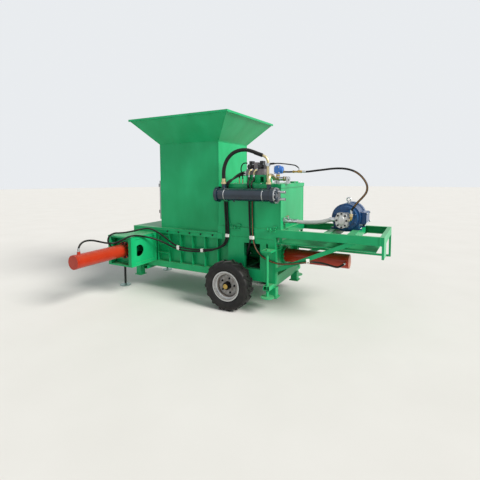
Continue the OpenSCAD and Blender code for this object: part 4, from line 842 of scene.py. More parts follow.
# Brass makes the pressure line's tee and nuts and the pump's elbow.
shape = bmesh.new()
turned(shape, (0.798, pressure_y, pressure_z), to_right,
       [(0, 0.013), (0.001, 0.018), (0.020, 0.018), (0.021, 0.013), (0.072, 0.013)], 6)
block(shape, (0.868, -0.317, 1.906), (0.902, -0.283, 1.942), 0.004)
turned(shape, (0.902, pressure_y, pressure_z), to_right,
       [(0, 0.013), (0.002, 0.013), (0.003, 0.0185), (0.024, 0.0185), (0.026, 0.014), (0.0283, 0.014)], 6)
turned(shape, (0.6565, pressure_y, pressure_z), to_right,
       [(0, 0.013), (0.002, 0.0175), (0.018, 0.0175), (0.020, 0.013), (0.034, 0.013)], 6)
turned(shape, (1.536, pump_port_y, 1.299), to_right, [(0, 0.024), (0.014, 0.024), (0.018, 0.017)], 6)
piece(shape, "brass_tee_and_nuts", brass, "frame")
pipes("pump_elbow",
      [[(1.540, pump_port_y, 1.299), (1.552, pump_port_y, 1.300), (1.565, pump_port_y, 1.309),
        (pump_port_x, pump_port_y, 1.325), (pump_port_x, pump_port_y, 1.345),
        (pump_port_x, pump_port_y, 1.3855)]], 0.0165, brass, "zinc_steel")
shape = bmesh.new()
turned(shape, (pump_port_x, pump_port_y, 1.3440), up,
       [(0, 0.0175), (0.002, 0.0225), (0.038, 0.0225), (0.041, 0.0170)], 6)
piece(shape, "pump_hose_nut", beige_zinc, "frame")
pipes("short_pressure_hose",
      [[(0.688, pressure_y, 1.922), (0.745, pressure_y, 1.920), (0.800, pressure_y, 1.922)]], 0.0118,
      black_plastic)

# The stop valve's lever is a bent flat bar, dipped in red.
shape = bmesh.new()
for end_y, top in ((-0.356, 1.328), (-0.440, 1.327)):
    block(shape, (0.7475, end_y, 1.322), (0.7635, -0.344, top), 0.001)
piece(shape, "valve_handle", red_enamel, "frame")


# Oil cooler
# A tube with a cap, a bolted head, two oil ports on top and two water nozzles, strapped on two saddles.
# Navy enamel, glossy, with pale metal where the head and the nozzles were machined.
cooler_y, cooler_z, shell_r, head_r = -0.602, 1.612, 0.0872, 0.1082
navy_enamel = enamel("alkyd_enamel_navy", "#0d1f2e", "#173041", dust=0.10, chips=0.25, gloss=0.2, coat=0.6)
dress(navy_enamel, "cooler")
bright = metal("machined_steel", "#9ea1a3", "#bfc1c2", 0.3)
shape = bmesh.new()
for x in (-0.076, 0.507):
    turned(shape, (x - 0.006, cooler_y, cooler_z), to_right,
           [(0, shell_r), (0.0005, 0.0886), (0.0115, 0.0886), (0.012, shell_r)], 64)
turned(shape, (0.6715, cooler_y, cooler_z), to_right,
       [(0, shell_r), (0.0005, 0.1040), (0.014, 0.1040), (0.015, 0.1020)], 64)
for z in (1.566, 1.658):
    turned(shape, (0.708, cooler_y, z), to_right,
           [(0, 0.025), (0.012, 0.025), (0.013, 0.0175), (0.080, 0.0175), (0.082, 0.0195),
            (0.0985, 0.0195), (0.0985, 0.0135), (0.06, 0.0130)], 24)
piece(shape, "cooler_straps_and_nozzles", bright, "frame")
screws("cooler_head_screws", "frame", ring_of((0.6870, cooler_y, cooler_z), to_right, 0.0955, 10, 18),
       across=0.014, height=0.014, washer=0.0150)

# The end caps and the drain plug are navy like the tube, and pale nuts close its oil ports.
shape = bmesh.new()
turned(shape, (-0.2235, cooler_y, cooler_z), to_right,
       [(0, head_r), (0.0430, head_r), (0.0445, 0.0880), (0.115, 0.0880), (0.116, shell_r)], 64)
turned(shape, (0.560, cooler_y, cooler_z), to_right,
       [(0, shell_r), (0.001, 0.0880), (0.062, 0.0880), (0.063, head_r), (0.1070, head_r), (0.108, 0.1060)],
       64)
turned(shape, (0.051, cooler_y, 1.526), down,
       [(0, 0.016), (0.006, 0.016), (0.007, 0.011), (0.016, 0.011)], 6)
piece(shape, "cooler_caps_and_plug", navy_enamel, "frame")
shape = bmesh.new()
for x in (-0.111, 0.576):
    turned(shape, (x, cooler_y, 1.7565), up,
           [(0, 0.032), (0.002, 0.038), (0.028, 0.038), (0.030, 0.034), (0.034, 0.029)], 6)
piece(shape, "cooler_port_nuts", beige_zinc, "frame")


# Motor and pump
# A finned electric motor on feet drives a gear pump through a bell housing bolted between them.
# Motor blue: semi-gloss spray over castings, with dust between the fins.
motor_x, shaft_z, pump_z = 1.463, 1.305, 1.299
motor_enamel = enamel("alkyd_enamel_motor_blue", "#123f70", "#1d5588", dust=0.15, chips=0.35, gloss=0.3,
                      coat=0.3)
dress(motor_enamel, "motor", "bell_housing")
aluminium = metal("die_cast_aluminium", "#a7a8a6", "#c6c7c4", 0.42, 30.0, 0.0006)
dress(aluminium, "pump")
screws("bell_screws", "frame", ring_of((motor_x, -0.1505, shaft_z), to_near, 0.140, 8, 22.5),
       across=0.019, height=0.012, washer=0.028, finish=motor_enamel, slot="blue_paint")
shape = bmesh.new()
for side in (-1, 1):
    x = sorted((motor_x + side * 0.163, motor_x + side * 0.203))
    for y in (-0.038, 0.256):
        block(shape, (x[0], y, 1.1435), (x[1], y + 0.036, 1.160), 0.003)
block(shape, (1.7005, 0.036, 1.221), (1.7105, 0.324, 1.369), 0.004)
turned(shape, (motor_x, 0.438, shaft_z), to_far, [(-0.03, 0.187), (-0.006, 0.187), (-0.0005, 0.179)], 48)
piece(shape, "motor_lugs_and_lid", motor_enamel, "frame")
places = [((motor_x + side * 0.186, y, 1.1605), up) for side in (-1, 1) for y in (-0.020, 0.274)]
places += [((1.7110, y, z), to_right) for y in (0.046, 0.314) for z in (1.231, 1.359)]
screws("motor_foot_screws", "frame", places, across=0.019, height=0.012, washer=0.028)

# The pump's cover is oval: a boss of die-cast aluminium inside a rim of eight black screws.
rim = [(math.sin(a), math.cos(a)) for a in (math.pi * i / 4 for i in range(8))]
screws("pump_cover_screws", "frame",
       [((motor_x + 0.062 * x, -0.3505, pump_z + 0.086 * z), to_near) for x, z in rim],
       across=0.023, height=0.014, washer=0.0235, finish=black_oxide, slot="black_iron")
shape = bmesh.new()
turned(shape, (0, -0.3500, 0), to_near, [(0, 0.040), (0.014, 0.040), (0.018, 0.036)], 32)
bmesh.ops.transform(shape, matrix=Matrix.Translation((motor_x, 0, pump_z)) @ Matrix.Diagonal((1, 1, 1.6, 1)),
                    verts=shape.verts)
piece(shape, "pump_cover_boss", aluminium, "frame")

# Thin cooling fins stand round the motor's core between the thick ones of the casting.
fins, fin_r, fin_size = 30, 0.171, (0.032, 0.290, 0.006)
shape = bmesh.new()
for i in range(fins):
    angle = 2 * math.pi * i / fins
    if abs(math.cos(angle)) < 0.94 and math.sin(angle) > -0.8:
        corners = bmesh.ops.create_cube(shape, size=1)["verts"]
        arm = Matrix.Rotation(-angle, 4, "Y") @ Matrix.Translation((fin_r, 0, 0))
        bmesh.ops.transform(shape, verts=corners, matrix=Matrix.Translation(spot(motor_x, 0.146, shaft_z))
                            @ arm @ Matrix.Diagonal((*fin_size, 1)))
piece(shape, "motor_fins", motor_enamel, "frame")

# The lifting eye and the cable glands are bought parts; the fan cover's punched grille is drawn as thin black
# discs, painted shade for its holes.
eye_x, eye_y, eye_r = 1.474, 0.055, 0.025
eye = [(eye_x + eye_r * math.cos(a), eye_y, 1.5440 + eye_r * math.sin(a))
       for a in (2 * math.pi * i / 24 for i in range(25))]
weld("lifting_eye", "frame", [eye], radius=0.008, paint=zinc_plate, slot="zinc_steel")
shape = bmesh.new()
turned(shape, (eye_x, eye_y, 1.4900), up, [(0, 0.020), (0.014, 0.020), (0.026, 0.010)], 20)
piece(shape, "lifting_eye_foot", bright, "frame")
shape = bmesh.new()
for y in (0.10, 0.20):
    turned(shape, (1.665, y, 1.2145), down,
           [(0, 0.018), (0.012, 0.018), (0.014, 0.013), (0.030, 0.012)], 16)
# A centre disc and the grille's holes are thin black discs on the cover: painted shade for the dark behind
# them.
turned(shape, (motor_x, 0.4382, shaft_z), to_far, [(0, 0.028), (0.001, 0.028)], 24)
for row in range(5):
    holes, radius = 24 + 6 * row, 0.045 + 0.027 * row
    for i in range(holes):
        angle = 2 * math.pi * i / holes
        turned(shape, (motor_x + radius * math.cos(angle), 0.4378, shaft_z + radius * math.sin(angle)),
               to_far, [(0, 0.0045), (0.0006, 0.0045)], 6)
piece(shape, "glands_and_grille", black_plastic, "frame")


# Hoses
# Wire-braided rubber hoses with crimped steel ends; clipped at both ends, so they don't move.
# Wrapped rubber: black with a soft gloss, the weave of its cloth wrap drawn 6 mm wide, and dust on top.
rubber, tree, at = blank("wrapped_rubber")
cloth = put(tree, "ShaderNodeTexNoise", {"Vector": at["Object"], "Scale": 180.0, "Detail": 3.0})
tone = clouded(tree, at, 7.0, 4.0, "#0b0c0d", "#1a1a1a")[1]
facing = put(tree, "ShaderNodeSeparateXYZ", {0: at["Normal"]})
lying = put(tree, "ShaderNodeMapRange", {0: facing.outputs[2], "From Min": 0.3, "From Max": 1.0,
                                         "To Min": 0.0, "To Max": 0.10})
dusty = put(tree, "ShaderNodeMix",
            {0: lying.outputs[0], 6: tone, 7: linear("#8d8877")}, data_type="RGBA")
skin = put(tree, "ShaderNodeBump", {"Height": cloth.outputs[0], "Distance": 0.001, "Strength": 0.7})
surface(tree, Base_Color=dusty.outputs[2], Roughness=0.42, Normal=skin.outputs[0], Specular_IOR_Level=0.22)
oil_hose_r = 0.0130

# From the cooler's left port in a high arch to the return pipe.
return_route = [
    (-0.111, -0.602, 1.7573), (-0.111, -0.602, 1.78), (-0.11, -0.602, 1.835), (-0.1125, -0.601, 1.9),
    (-0.1067, -0.598, 1.97), (-0.0919, -0.588, 2.04), (-0.0591, -0.57, 2.115), (0.0037, -0.541, 2.185),
    (0.0865, -0.5, 2.224), (0.1744, -0.46, 2.23), (0.2572, -0.422, 2.206), (0.33, -0.388, 2.173)]
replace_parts(pipes("arched_return_hose", [return_route], 0.0260, rubber, sides=24), "return_hose")

# From the valve stack down the tank and along the chamber to the push-out cylinder.
rod_side_route = [
    (0.0966, -0.322, 1.922), (0.072, -0.322, 1.922), (0.04, -0.342, 1.914), (0.006, -0.378, 1.892),
    (-0.03, -0.428, 1.85), (-0.062, -0.486, 1.796), (-0.088, -0.52, 1.75), (-0.104, -0.512, 1.698),
    (-0.112, -0.502, 1.65), (-0.114, -0.499, 1.612), (-0.118, -0.499, 1.54), (-0.119, -0.5, 1.46),
    (-0.114, -0.502, 1.34), (-0.105, -0.505, 1.22), (-0.097, -0.509, 1.12), (-0.096, -0.509, 1.04),
    (-0.106, -0.509, 0.96), (-0.14, -0.509, 0.89), (-0.215, -0.509, 0.835), (-0.34, -0.509, 0.793),
    (-0.48, -0.509, 0.77), (-0.63, -0.509, 0.756), (-0.78, -0.509, 0.75), (-0.92, -0.509, 0.755),
    (-1.03, -0.509, 0.772), (-1.125, -0.514, 0.812), (-1.21, -0.527, 0.868), (-1.295, -0.55, 0.93),
    (-1.37, -0.583, 0.985), (-1.44, -0.625, 1.025), (-1.505, -0.668, 1.042), (-1.57, -0.735, 1.032),
    (-1.65, -0.815, 1.01), (-1.73, -0.895, 0.994), (-1.8, -0.96, 0.99), (-1.848, -1.012, 0.99),
    (-1.886, -1.07, 0.962), (-1.898, -1.098, 0.905), (-1.898, -1.09, 0.845), (-1.887, -1.052, 0.785),
    (-1.884, -1.014, 0.742), (-1.872, -1, 0.7265), (-1.85, -1, 0.7265)]
cap_side_route = [
    (0.0966, -0.322, 1.886), (0.07, -0.322, 1.886), (0.034, -0.34, 1.88), (-0.006, -0.372, 1.862),
    (-0.05, -0.425, 1.83), (-0.092, -0.482, 1.798), (-0.122, -0.52, 1.752), (-0.138, -0.512, 1.7),
    (-0.147, -0.502, 1.65), (-0.149, -0.499, 1.612), (-0.152, -0.502, 1.54), (-0.153, -0.504, 1.46),
    (-0.148, -0.504, 1.34), (-0.14, -0.505, 1.22), (-0.131, -0.509, 1.12), (-0.129, -0.509, 1.04),
    (-0.138, -0.509, 0.96), (-0.175, -0.509, 0.885), (-0.265, -0.509, 0.818), (-0.4, -0.509, 0.766),
    (-0.54, -0.509, 0.738), (-0.69, -0.509, 0.722), (-0.83, -0.509, 0.715), (-0.96, -0.509, 0.72),
    (-1.075, -0.51, 0.738), (-1.17, -0.518, 0.768), (-1.245, -0.545, 0.808), (-1.31, -0.595, 0.848),
    (-1.37, -0.66, 0.885), (-1.42, -0.73, 0.915), (-1.446, -0.805, 0.94), (-1.455, -0.88, 0.96),
    (-1.456, -0.95, 0.974), (-1.463, -1.02, 0.982), (-1.492, -1.08, 0.97), (-1.548, -1.108, 0.938),
    (-1.61, -1.12, 0.905), (-1.668, -1.145, 0.882), (-1.706, -1.2, 0.878), (-1.716, -1.27, 0.892),
    (-1.72, -1.35, 0.916), (-1.72, -1.43, 0.944), (-1.72, -1.51, 0.97), (-1.72, -1.59, 0.983),
    (-1.72, -1.66, 0.98), (-1.72, -1.715, 0.952), (-1.7195, -1.747, 0.9), (-1.7195, -1.747, 0.857)]
hoses = pipes("push_out_hose_pair", [rod_side_route, cap_side_route], oil_hose_r, rubber)
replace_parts(hoses, "push_out_hoses")

# From under the valve stack to the press cylinder.
near_press_route = [
    (0.172, -0.372, 1.8834), (0.172, -0.372, 1.855), (0.177, -0.39, 1.82), (0.19, -0.43, 1.795),
    (0.208, -0.475, 1.785), (0.222, -0.516, 1.752), (0.229, -0.508, 1.7), (0.233, -0.499, 1.612),
    (0.235, -0.499, 1.54), (0.236, -0.5, 1.46), (0.24, -0.502, 1.34), (0.246, -0.505, 1.22),
    (0.252, -0.509, 1.12), (0.257, -0.509, 1.04), (0.255, -0.509, 0.97), (0.24, -0.507, 0.9),
    (0.215, -0.495, 0.835), (0.19, -0.468, 0.78), (0.165, -0.415, 0.738), (0.138, -0.34, 0.715),
    (0.108, -0.265, 0.705), (0.08, -0.195, 0.701), (0.07, -0.155, 0.7), (0.07, -0.1305, 0.7)]
far_press_route = [
    (0.248, -0.372, 1.8834), (0.248, -0.372, 1.855), (0.252, -0.39, 1.82), (0.259, -0.43, 1.795),
    (0.268, -0.475, 1.785), (0.277, -0.516, 1.752), (0.282, -0.508, 1.7), (0.285, -0.499, 1.612),
    (0.286, -0.499, 1.54), (0.286, -0.5, 1.46), (0.287, -0.502, 1.34), (0.29, -0.505, 1.22),
    (0.294, -0.509, 1.12), (0.298, -0.509, 1.04), (0.308, -0.509, 0.965), (0.33, -0.509, 0.89),
    (0.372, -0.509, 0.82), (0.435, -0.509, 0.765), (0.515, -0.509, 0.725), (0.61, -0.513, 0.7),
    (0.71, -0.52, 0.692), (0.83, -0.522, 0.704), (0.95, -0.522, 0.728), (1.06, -0.519, 0.752),
    (1.14, -0.48, 0.757), (1.215, -0.415, 0.742), (1.285, -0.34, 0.712), (1.345, -0.275, 0.68),
    (1.4, -0.23, 0.664), (1.447, -0.19, 0.682), (1.474, -0.158, 0.7), (1.474, -0.1305, 0.7)]
hoses = pipes("press_hose_pair", [near_press_route, far_press_route], oil_hose_r, rubber)
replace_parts(hoses, "press_hoses")

# From the pressure line in a loop to the pump.
pump_route = [
    (0.9303, -0.3, 1.922), (1.01, -0.3, 1.922), (1.11, -0.3, 1.933), (1.215, -0.3, 1.944),
    (1.32, -0.3, 1.955), (1.425, -0.3, 1.958), (1.52, -0.3, 1.947), (1.605, -0.3, 1.918),
    (1.675, -0.3, 1.868), (1.73, -0.3, 1.8), (1.757, -0.3, 1.73), (1.748, -0.3, 1.66),
    (1.705, -0.3, 1.596), (1.655, -0.3, 1.54), (1.61, -0.298, 1.48), (1.582, -0.297, 1.44),
    (1.571, -0.296, 1.412), (1.571, -0.296, 1.3852)]
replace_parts(pipes("looped_pump_hose", [pump_route], oil_hose_r, rubber), "pump_hose")

# The far press hose and the pump's hose carry a plain orange stripe along the near side.
# Dull orange rubber, moulded in: even and matt.
orange_rubber = moulded("orange_stripe_rubber", "#a0703a", "#bd8a4a", 0.6)
outside = oil_hose_r - 0.0024
stripes = [[(x + 0.002, y - outside, z + 0.002) for x, y, z in far_press_route[5:28]],
           [(x, y - outside, z) for x, y, z in pump_route[7:15]]]
pipes("hose_stripes", stripes, 0.0030, orange_rubber, step=0.02, sides=8)

# A thin pilot hose runs from the return pipe over the blue valve to the tee.
pilot_route = [
    (0.478, -0.35, 2.033), (0.54, -0.344, 2.037), (0.61, -0.335, 2.038), (0.69, -0.325, 2.03),
    (0.77, -0.315, 2.019), (0.835, -0.307, 2.006), (0.872, -0.302, 1.98), (0.885, -0.3, 1.964),
    (0.885, -0.3, 1.9445)]
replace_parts(pipes("thin_pilot_hose", [pilot_route], 0.0080, rubber), "pilot_hose")

# Two thin drain hoses rise from the lid; one loops up to the top of the valve stack.
pipes("drain_hoses",
      [[(0.034, -0.303, 1.815), (0.033, -0.304, 1.860), (0.020, -0.306, 1.910), (0.009, -0.308, 1.958),
        (0.016, -0.310, 2.006), (0.042, -0.310, 2.043), (0.075, -0.309, 2.055), (0.112, -0.308, 2.052)],
       [(-0.014, -0.316, 1.828), (-0.012, -0.318, 1.850), (0.010, -0.320, 1.892), (0.050, -0.321, 1.904),
        (0.098, -0.322, 1.905)]], 0.0085, rubber)

# The suction hose is clear PVC with a steel helix in its wall; oil in it makes it grey.
# Soft PVC: pale, half clear, rings of the helix 14 mm apart.
suction_route = [
    (0.8154, -0.35, 1.256), (0.85, -0.35, 1.256), (0.91, -0.346, 1.251), (0.99, -0.338, 1.248),
    (1.09, -0.33, 1.252), (1.19, -0.32, 1.263), (1.275, -0.298, 1.284), (1.33, -0.28, 1.298),
    (1.352, -0.28, 1.299), (1.3735, -0.28, 1.299)]
clear_pvc, tree, at = blank("clear_pvc_with_helix")
along = put(tree, "ShaderNodeSeparateXYZ", {0: at["Object"]})
turns = put(tree, "ShaderNodeMath", {0: along.outputs[0], 1: 449.0}, operation="MULTIPLY")
wave = put(tree, "ShaderNodeMath", {0: turns.outputs[0]}, operation="SINE")
band = put(tree, "ShaderNodeMapRange", {0: wave.outputs[0], "From Min": 0.2, "From Max": 0.8})
tone = put(tree, "ShaderNodeMix",
           {0: band.outputs[0], 6: linear("#d3d6d2"), 7: linear("#9aa0a0")}, data_type="RGBA")
skin = put(tree, "ShaderNodeBump", {"Height": wave.outputs[0], "Distance": 0.0015, "Strength": 0.6})
surface(tree, Base_Color=tone.outputs[2], Roughness=0.25, Normal=skin.outputs[0],
        Transmission_Weight=0.25, Coat_Weight=0.3)
hose = pipes("ribbed_suction_hose", [suction_route], 0.0258, clear_pvc, "clear_hose", sides=24, step=0.008)
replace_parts(hose, "suction_hose")

# Crimped ferrules end the hoses. The return hose has a passivated one at the cooler and a rubber sleeve
# at its pipe, and another sleeve covers the pilot hose's left end.
ends = bmesh.new()
warm = bmesh.new()
ferrules = [(return_route, 0.026, warm)]
ferrules += [(route, oil_hose_r, ends) for route in (rod_side_route, cap_side_route, near_press_route,
                                                     far_press_route, pump_route)]
ferrules += [(pilot_route, 0.008, ends), (suction_route, 0.0258, ends)]
for route, radius, shape in ferrules:
    for tip, inner in ((route[0], route[1]), (route[-1], route[-2]))[:1 if shape is warm else 2]:
        way = Vector(inner) - Vector(tip)
        long = min(2.6 * radius + 0.012, 0.075)
        turned(shape, tip, way,
               [(0.0002, radius * 1.06), (0.009, radius * 1.06), (0.010, radius * 0.95),
                (0.012, radius * 1.12), (long, radius * 1.12), (long + 0.002, radius * 0.98)], 18)
piece(ends, "hose_ferrules", zinc_plate, "frame")
sleeves = bmesh.new()
turned(sleeves, (0.331, -0.388, 2.1725), (0.041, 0.018, -0.0165),
       [(-0.060, 0.0275), (0.056, 0.0275), (0.060, 0.019)], 20)
turned(sleeves, (0.488, -0.349, 2.034), (1, 0.08, 0.05), [(0, 0.0135), (0.058, 0.0135), (0.062, 0.0085)], 16)
piece(sleeves, "rubber_sleeves", rubber, "frame")
piece(warm, "return_hose_ferrule", beige_zinc, "frame")

# White tape holds the hoses together in five places.
white_vinyl = moulded("white_vinyl_tape", "#dededa", "#f0f0ed", 0.4)


def tape(shape, centres, way, wide, radius):
    """Adds tape wound round hoses at the centres that run the given way."""
    way = Vector(way).normalized()
    arm = way.orthogonal().normalized() * radius
    ring = [Matrix.Rotation(math.radians(20 * i), 3, way) @ arm + way * s for i in range(18)
            for s in (-wide / 2, wide / 2)]
    corners = [shape.verts.new(spot(*c) + r) for c in centres for r in ring]
    hull = bmesh.ops.convex_hull(shape, input=corners)
    spare = set(hull["geom_interior"]) | set(hull["geom_unused"])
    bmesh.ops.delete(shape, geom=[v for v in spare if isinstance(v, bmesh.types.BMVert)], context="VERTS")


shape = bmesh.new()
pair_y, tape_wide, tape_r = -0.509, 0.046, 0.0150
for start, end, way in (((-0.0993, pair_y, 1.013), (-0.1323, pair_y, 1.013), (-0.1, 0, -1)),
                        ((0.2563, pair_y, 1.013), (0.3013, pair_y, 1.013), (0.1, 0, -1)),
                        ((-1.010, pair_y, 0.769), (-1.010, pair_y, 0.728), (-1, 0, 0.15)),
                        ((-0.559, pair_y, 0.7625), (-0.559, pair_y, 0.736), (-1, 0, -0.1))):
    tape(shape, [start, end], way, tape_wide, tape_r)
tape(shape, [(1.082, -0.508, 0.753), (1.082, -0.514, 0.785)], (1, 0.4, 0.05), 0.042, 0.0160)
piece(shape, "white_tapes", white_vinyl, "frame")


# Wheels
# Farm tyres on pressed steel rims, on hubs that turn on the ends of a square axle.
# Tyre rubber: black and matt, greyed by patches of dust.
hub_z, wheel_y = 0.350, 0.6785
tyre_rubber, tree, at = blank("tyre_rubber_dusty")
patch, tone = clouded(tree, at, 9.0, 6.0, "#0c0d0e", "#1b1b1b")
grit = put(tree, "ShaderNodeTexNoise", {"Vector": at["Object"], "Scale": 60.0, "Detail": 4.0})
dust = put(tree, "ShaderNodeMapRange", {0: patch, "From Min": 0.45, "From Max": 0.75,
                                        "To Min": 0.02, "To Max": 0.13})
colour = put(tree, "ShaderNodeMix",
             {0: dust.outputs[0], 6: tone, 7: linear("#66625c")}, data_type="RGBA")
skin = put(tree, "ShaderNodeBump", {"Height": grit.outputs[0], "Distance": 0.001, "Strength": 0.5})
surface(tree, Base_Color=colour.outputs[2], Roughness=0.5, Normal=skin.outputs[0], Specular_IOR_Level=0.25)

# Rims are silver enamel, and their discs are browned by dust that oil from the hub holds.
# Aluminium-coloured paint: half metallic, soft gloss; dirt grows towards the hub, and two rings over the
# grooves are darkened as painted shade.
silver_enamel, tree, at = blank("silver_enamel_dusty_with_painted_shade")
place = put(tree, "ShaderNodeSeparateXYZ", {0: at["Object"]})
across = put(tree, "ShaderNodeMath", {0: place.outputs[0], 1: axle_x}, operation="SUBTRACT")
upward = put(tree, "ShaderNodeMath", {0: place.outputs[2], 1: hub_z}, operation="SUBTRACT")
flat = put(tree, "ShaderNodeCombineXYZ", {0: across.outputs[0], 2: upward.outputs[0]})
far = put(tree, "ShaderNodeVectorMath", {0: flat.outputs[0]}, operation="LENGTH")
inner = put(tree, "ShaderNodeMapRange", {0: far.outputs["Value"], "From Min": 0.165, "From Max": 0.12})
cloud = put(tree, "ShaderNodeTexNoise", {"Vector": at["Object"], "Scale": 22.0, "Detail": 6.0})
dirt = put(tree, "ShaderNodeMapRange", {0: cloud.outputs[0], "From Min": 0.35, "From Max": 0.7,
                                        "To Min": 0.35, "To Max": 0.9})
hold = put(tree, "ShaderNodeMath", {0: inner.outputs[0], 1: dirt.outputs[0]}, operation="MULTIPLY")
specks = put(tree, "ShaderNodeMapRange", {0: cloud.outputs[0], "From Min": 0.55, "From Max": 0.8,
                                          "To Min": 0.0, "To Max": 0.35})
dirt_and_groove_shade = put(tree, "ShaderNodeMath", {0: hold.outputs[0], 1: specks.outputs[0]}, operation="MAXIMUM")
# Two rings over the rim's grooves are painted darker: painted shade that stands for the shadow in the
# grooves, mixed into the dirt.
for middle, half in ((0.1865, 0.0055), (0.1560, 0.0100)):
    aside = put(tree, "ShaderNodeMath", {0: far.outputs["Value"], 1: middle}, operation="SUBTRACT")
    apart = put(tree, "ShaderNodeMath", {0: aside.outputs[0]}, operation="ABSOLUTE")
    painted_groove_shade = put(tree, "ShaderNodeMapRange", {0: apart.outputs[0], "From Min": half, "From Max": 0.6 * half,
                                              "To Min": 0.0, "To Max": 0.85})
    dirt_and_groove_shade = put(tree, "ShaderNodeMath", {0: dirt_and_groove_shade.outputs[0], 1: painted_groove_shade.outputs[0]},
                   operation="MAXIMUM")
colour = put(tree, "ShaderNodeMix",
             {0: dirt_and_groove_shade.outputs[0], 6: linear("#b9bbbb"), 7: linear("#6c6156")}, data_type="RGBA")
shine = put(tree, "ShaderNodeMath", {0: 0.5, 1: dirt_and_groove_shade.outputs[0]}, operation="SUBTRACT",
            use_clamp=True)
rough = put(tree, "ShaderNodeMapRange", {0: dirt_and_groove_shade.outputs[0], "To Min": 0.38, "To Max": 0.75})
surface(tree, Base_Color=colour.outputs[2], Metallic=shine.outputs[0], Roughness=rough.outputs[0])
dress(silver_enamel, "near_rim", "far_rim")
dress(metal("black_painted_hub", "#1c1c1d", "#333231", 0.5, 30.0, 0.0008), "near_hub", "far_hub")
dress(green_enamel, "axle")


def lug(shape, side, row, place):
    """Adds one lug of the tread; it slants from the middle out to the shoulder and ends on the side wall."""
    rings = []
    for t in (0.0, 0.12, 0.3, 0.5, 0.7, 0.86, 1.0, 1.12):
        shift = min(t, 1.0)
        fall = max(t - 1.0, 0)
        turn = lug_pitch * (place + 0.25 * row + 0.56 * shift ** 1.25)
        over = row * (-0.008 + 0.0925 * shift + 0.10 * fall)
        top = 0.3494 - 0.0016 * shift - fall * 0.30
        deep = 0.327 - 0.010 * shift - fall * 0.16
        wide = 0.0125 + 0.0045 * shift
        ring = []
        for r, w in ((deep, wide * 1.35), (top - 0.002, wide), (top, wide - 0.002),
                     (top, -wide + 0.002), (top - 0.002, -wide), (deep, -wide * 1.35)):
            a = turn + w / r
            ring.append(shape.verts.new(spot(r * math.cos(a), side * (wheel_y - over),
                                             hub_z + r * math.sin(a))))
        rings.append(ring)
    skin_rings(shape, rings)


def tyre(shape, side):
    """Adds a tyre on the near (-1) or far (1) side: a turned carcass and two rows of slanting lugs."""
    half = [(0.080, 0.192), (0.0805, 0.209), (0.086, 0.220), (0.0925, 0.224), (0.0965, 0.233),
            (0.1025, 0.250), (0.1065, 0.268), (0.1070, 0.284), (0.1045, 0.290), (0.1035, 0.300),
            (0.0995, 0.314), (0.0900, 0.326), (0.0760, 0.3325), (0.040, 0.3350), (0.0, 0.3355)]
    profile = [(-a, r) for a, r in half] + [(a, r) for a, r in reversed(half[:-1])]
    turned(shape, (0, side * wheel_y, hub_z), to_far, profile, 96, hollow=True)
    for place in range(lugs):
        for row in (-1, 1):
            lug(shape, side, row, place)


lugs = 16
lug_pitch = 2 * math.pi / lugs
nut_turns = [math.radians(3 + 72 * i) for i in range(5)]
valve_turn, valve_r = math.radians(-60), 0.160
for side, word in ((-1, "near"), (1, "far")):
    body = word + "_wheel"
    outward = (0, side, 0)
    shape = bmesh.new()
    tyre(shape, side)
    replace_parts(piece(shape, word + "_lugged_tyre", tyre_rubber, body), word + "_tyre")
    places = [(Vector((0, side * 0.7008, hub_z)) + Vector((math.cos(a), 0, math.sin(a))) * 0.104, outward)
              for a in nut_turns]
    screws(word + "_wheel_nuts", body, places, across=0.022, height=0.018, washer=0.030, finish=black_oxide,
           slot="black_iron")
    shape = bmesh.new()
    turned(shape, (valve_r * math.cos(valve_turn), side * 0.672, hub_z + valve_r * math.sin(valve_turn)),
           outward, [(0, 0.008), (0.022, 0.0065), (0.024, 0.005), (0.042, 0.0045), (0.044, 0.0035)], 12)
    piece(shape, word + "_tyre_valve", black_plastic, body)
    shape = bmesh.new()
    turned(shape, (0, side * 0.7625, hub_z), outward,
           [(0, 0.0345), (0.012, 0.0345), (0.0150, 0.031), (0.0152, 0.010)], 32)
    turned(shape, (-0.020, side * 0.7620, hub_z - 0.020), outward, [(0, 0.008), (0.006, 0.008)], 6)
    piece(shape, word + "_hub_plug", brass, body)


# Legs and jacks
# Four fixed legs with foot plates, and four screw jacks whose spindles turn in nuts under welded plates.
# The left jacks have zinc-dipped discs and bare oiled spindles; the right ones are green all over.
jack_left_x, jack_left_y, jack_right_x, jack_right_y = -2.136, 0.551, 0.559, 0.613
leg_half, leg_left_x, leg_right_x, foot_z = 0.050, -1.879, 0.580, 0.213
dress(green_enamel, "legs", "cross_tubes", "jack_nuts")
dipped_zinc = metal("hot_dipped_zinc", "#6f8a84", "#9db3ac", 0.45, 26.0, 0.0006)
threaded_steel = metal("oiled_thread_steel", "#232425", "#454443", 0.4, 60.0, 0.0004)
green_thread = enamel("alkyd_enamel_green_jacks", dust=0.4, chips=0.8)


def spindle(shape, x, y, low):
    """Adds a threaded spindle of 660 mm whose thread climbs 10 mm a turn, drawn coarse so that it shows."""
    turns, steps, sides = 67, 8, 12
    long, core_r, thread_deep = 0.659, 0.0175, 0.0025
    around = [2 * math.pi * i / sides for i in range(sides)]
    rings = []
    for k in range(turns * steps):
        start = spot(x, y, low + 0.0005 + long * k / (turns * steps - 1))
        turn = 2 * math.pi * k / steps
        rings.append([shape.verts.new(start + Vector((math.cos(a), math.sin(a), 0))
                                      * (core_r + thread_deep * (0.5 + 0.5 * math.cos(a - turn))))
                      for a in around])
    skin_rings(shape, rings)


def disc(shape, x, y, low, boss):
    """Adds a jack's disc with a boss of the given height for its spindle."""
    turned(shape, (x, y, low), up,
           [(0, 0.088), (0.002, 0.090), (0.011, 0.090), (0.0135, 0.0875), (0.0138, 0.032),
            (boss - 0.002, 0.0205), (boss, 0.0202)], 48)


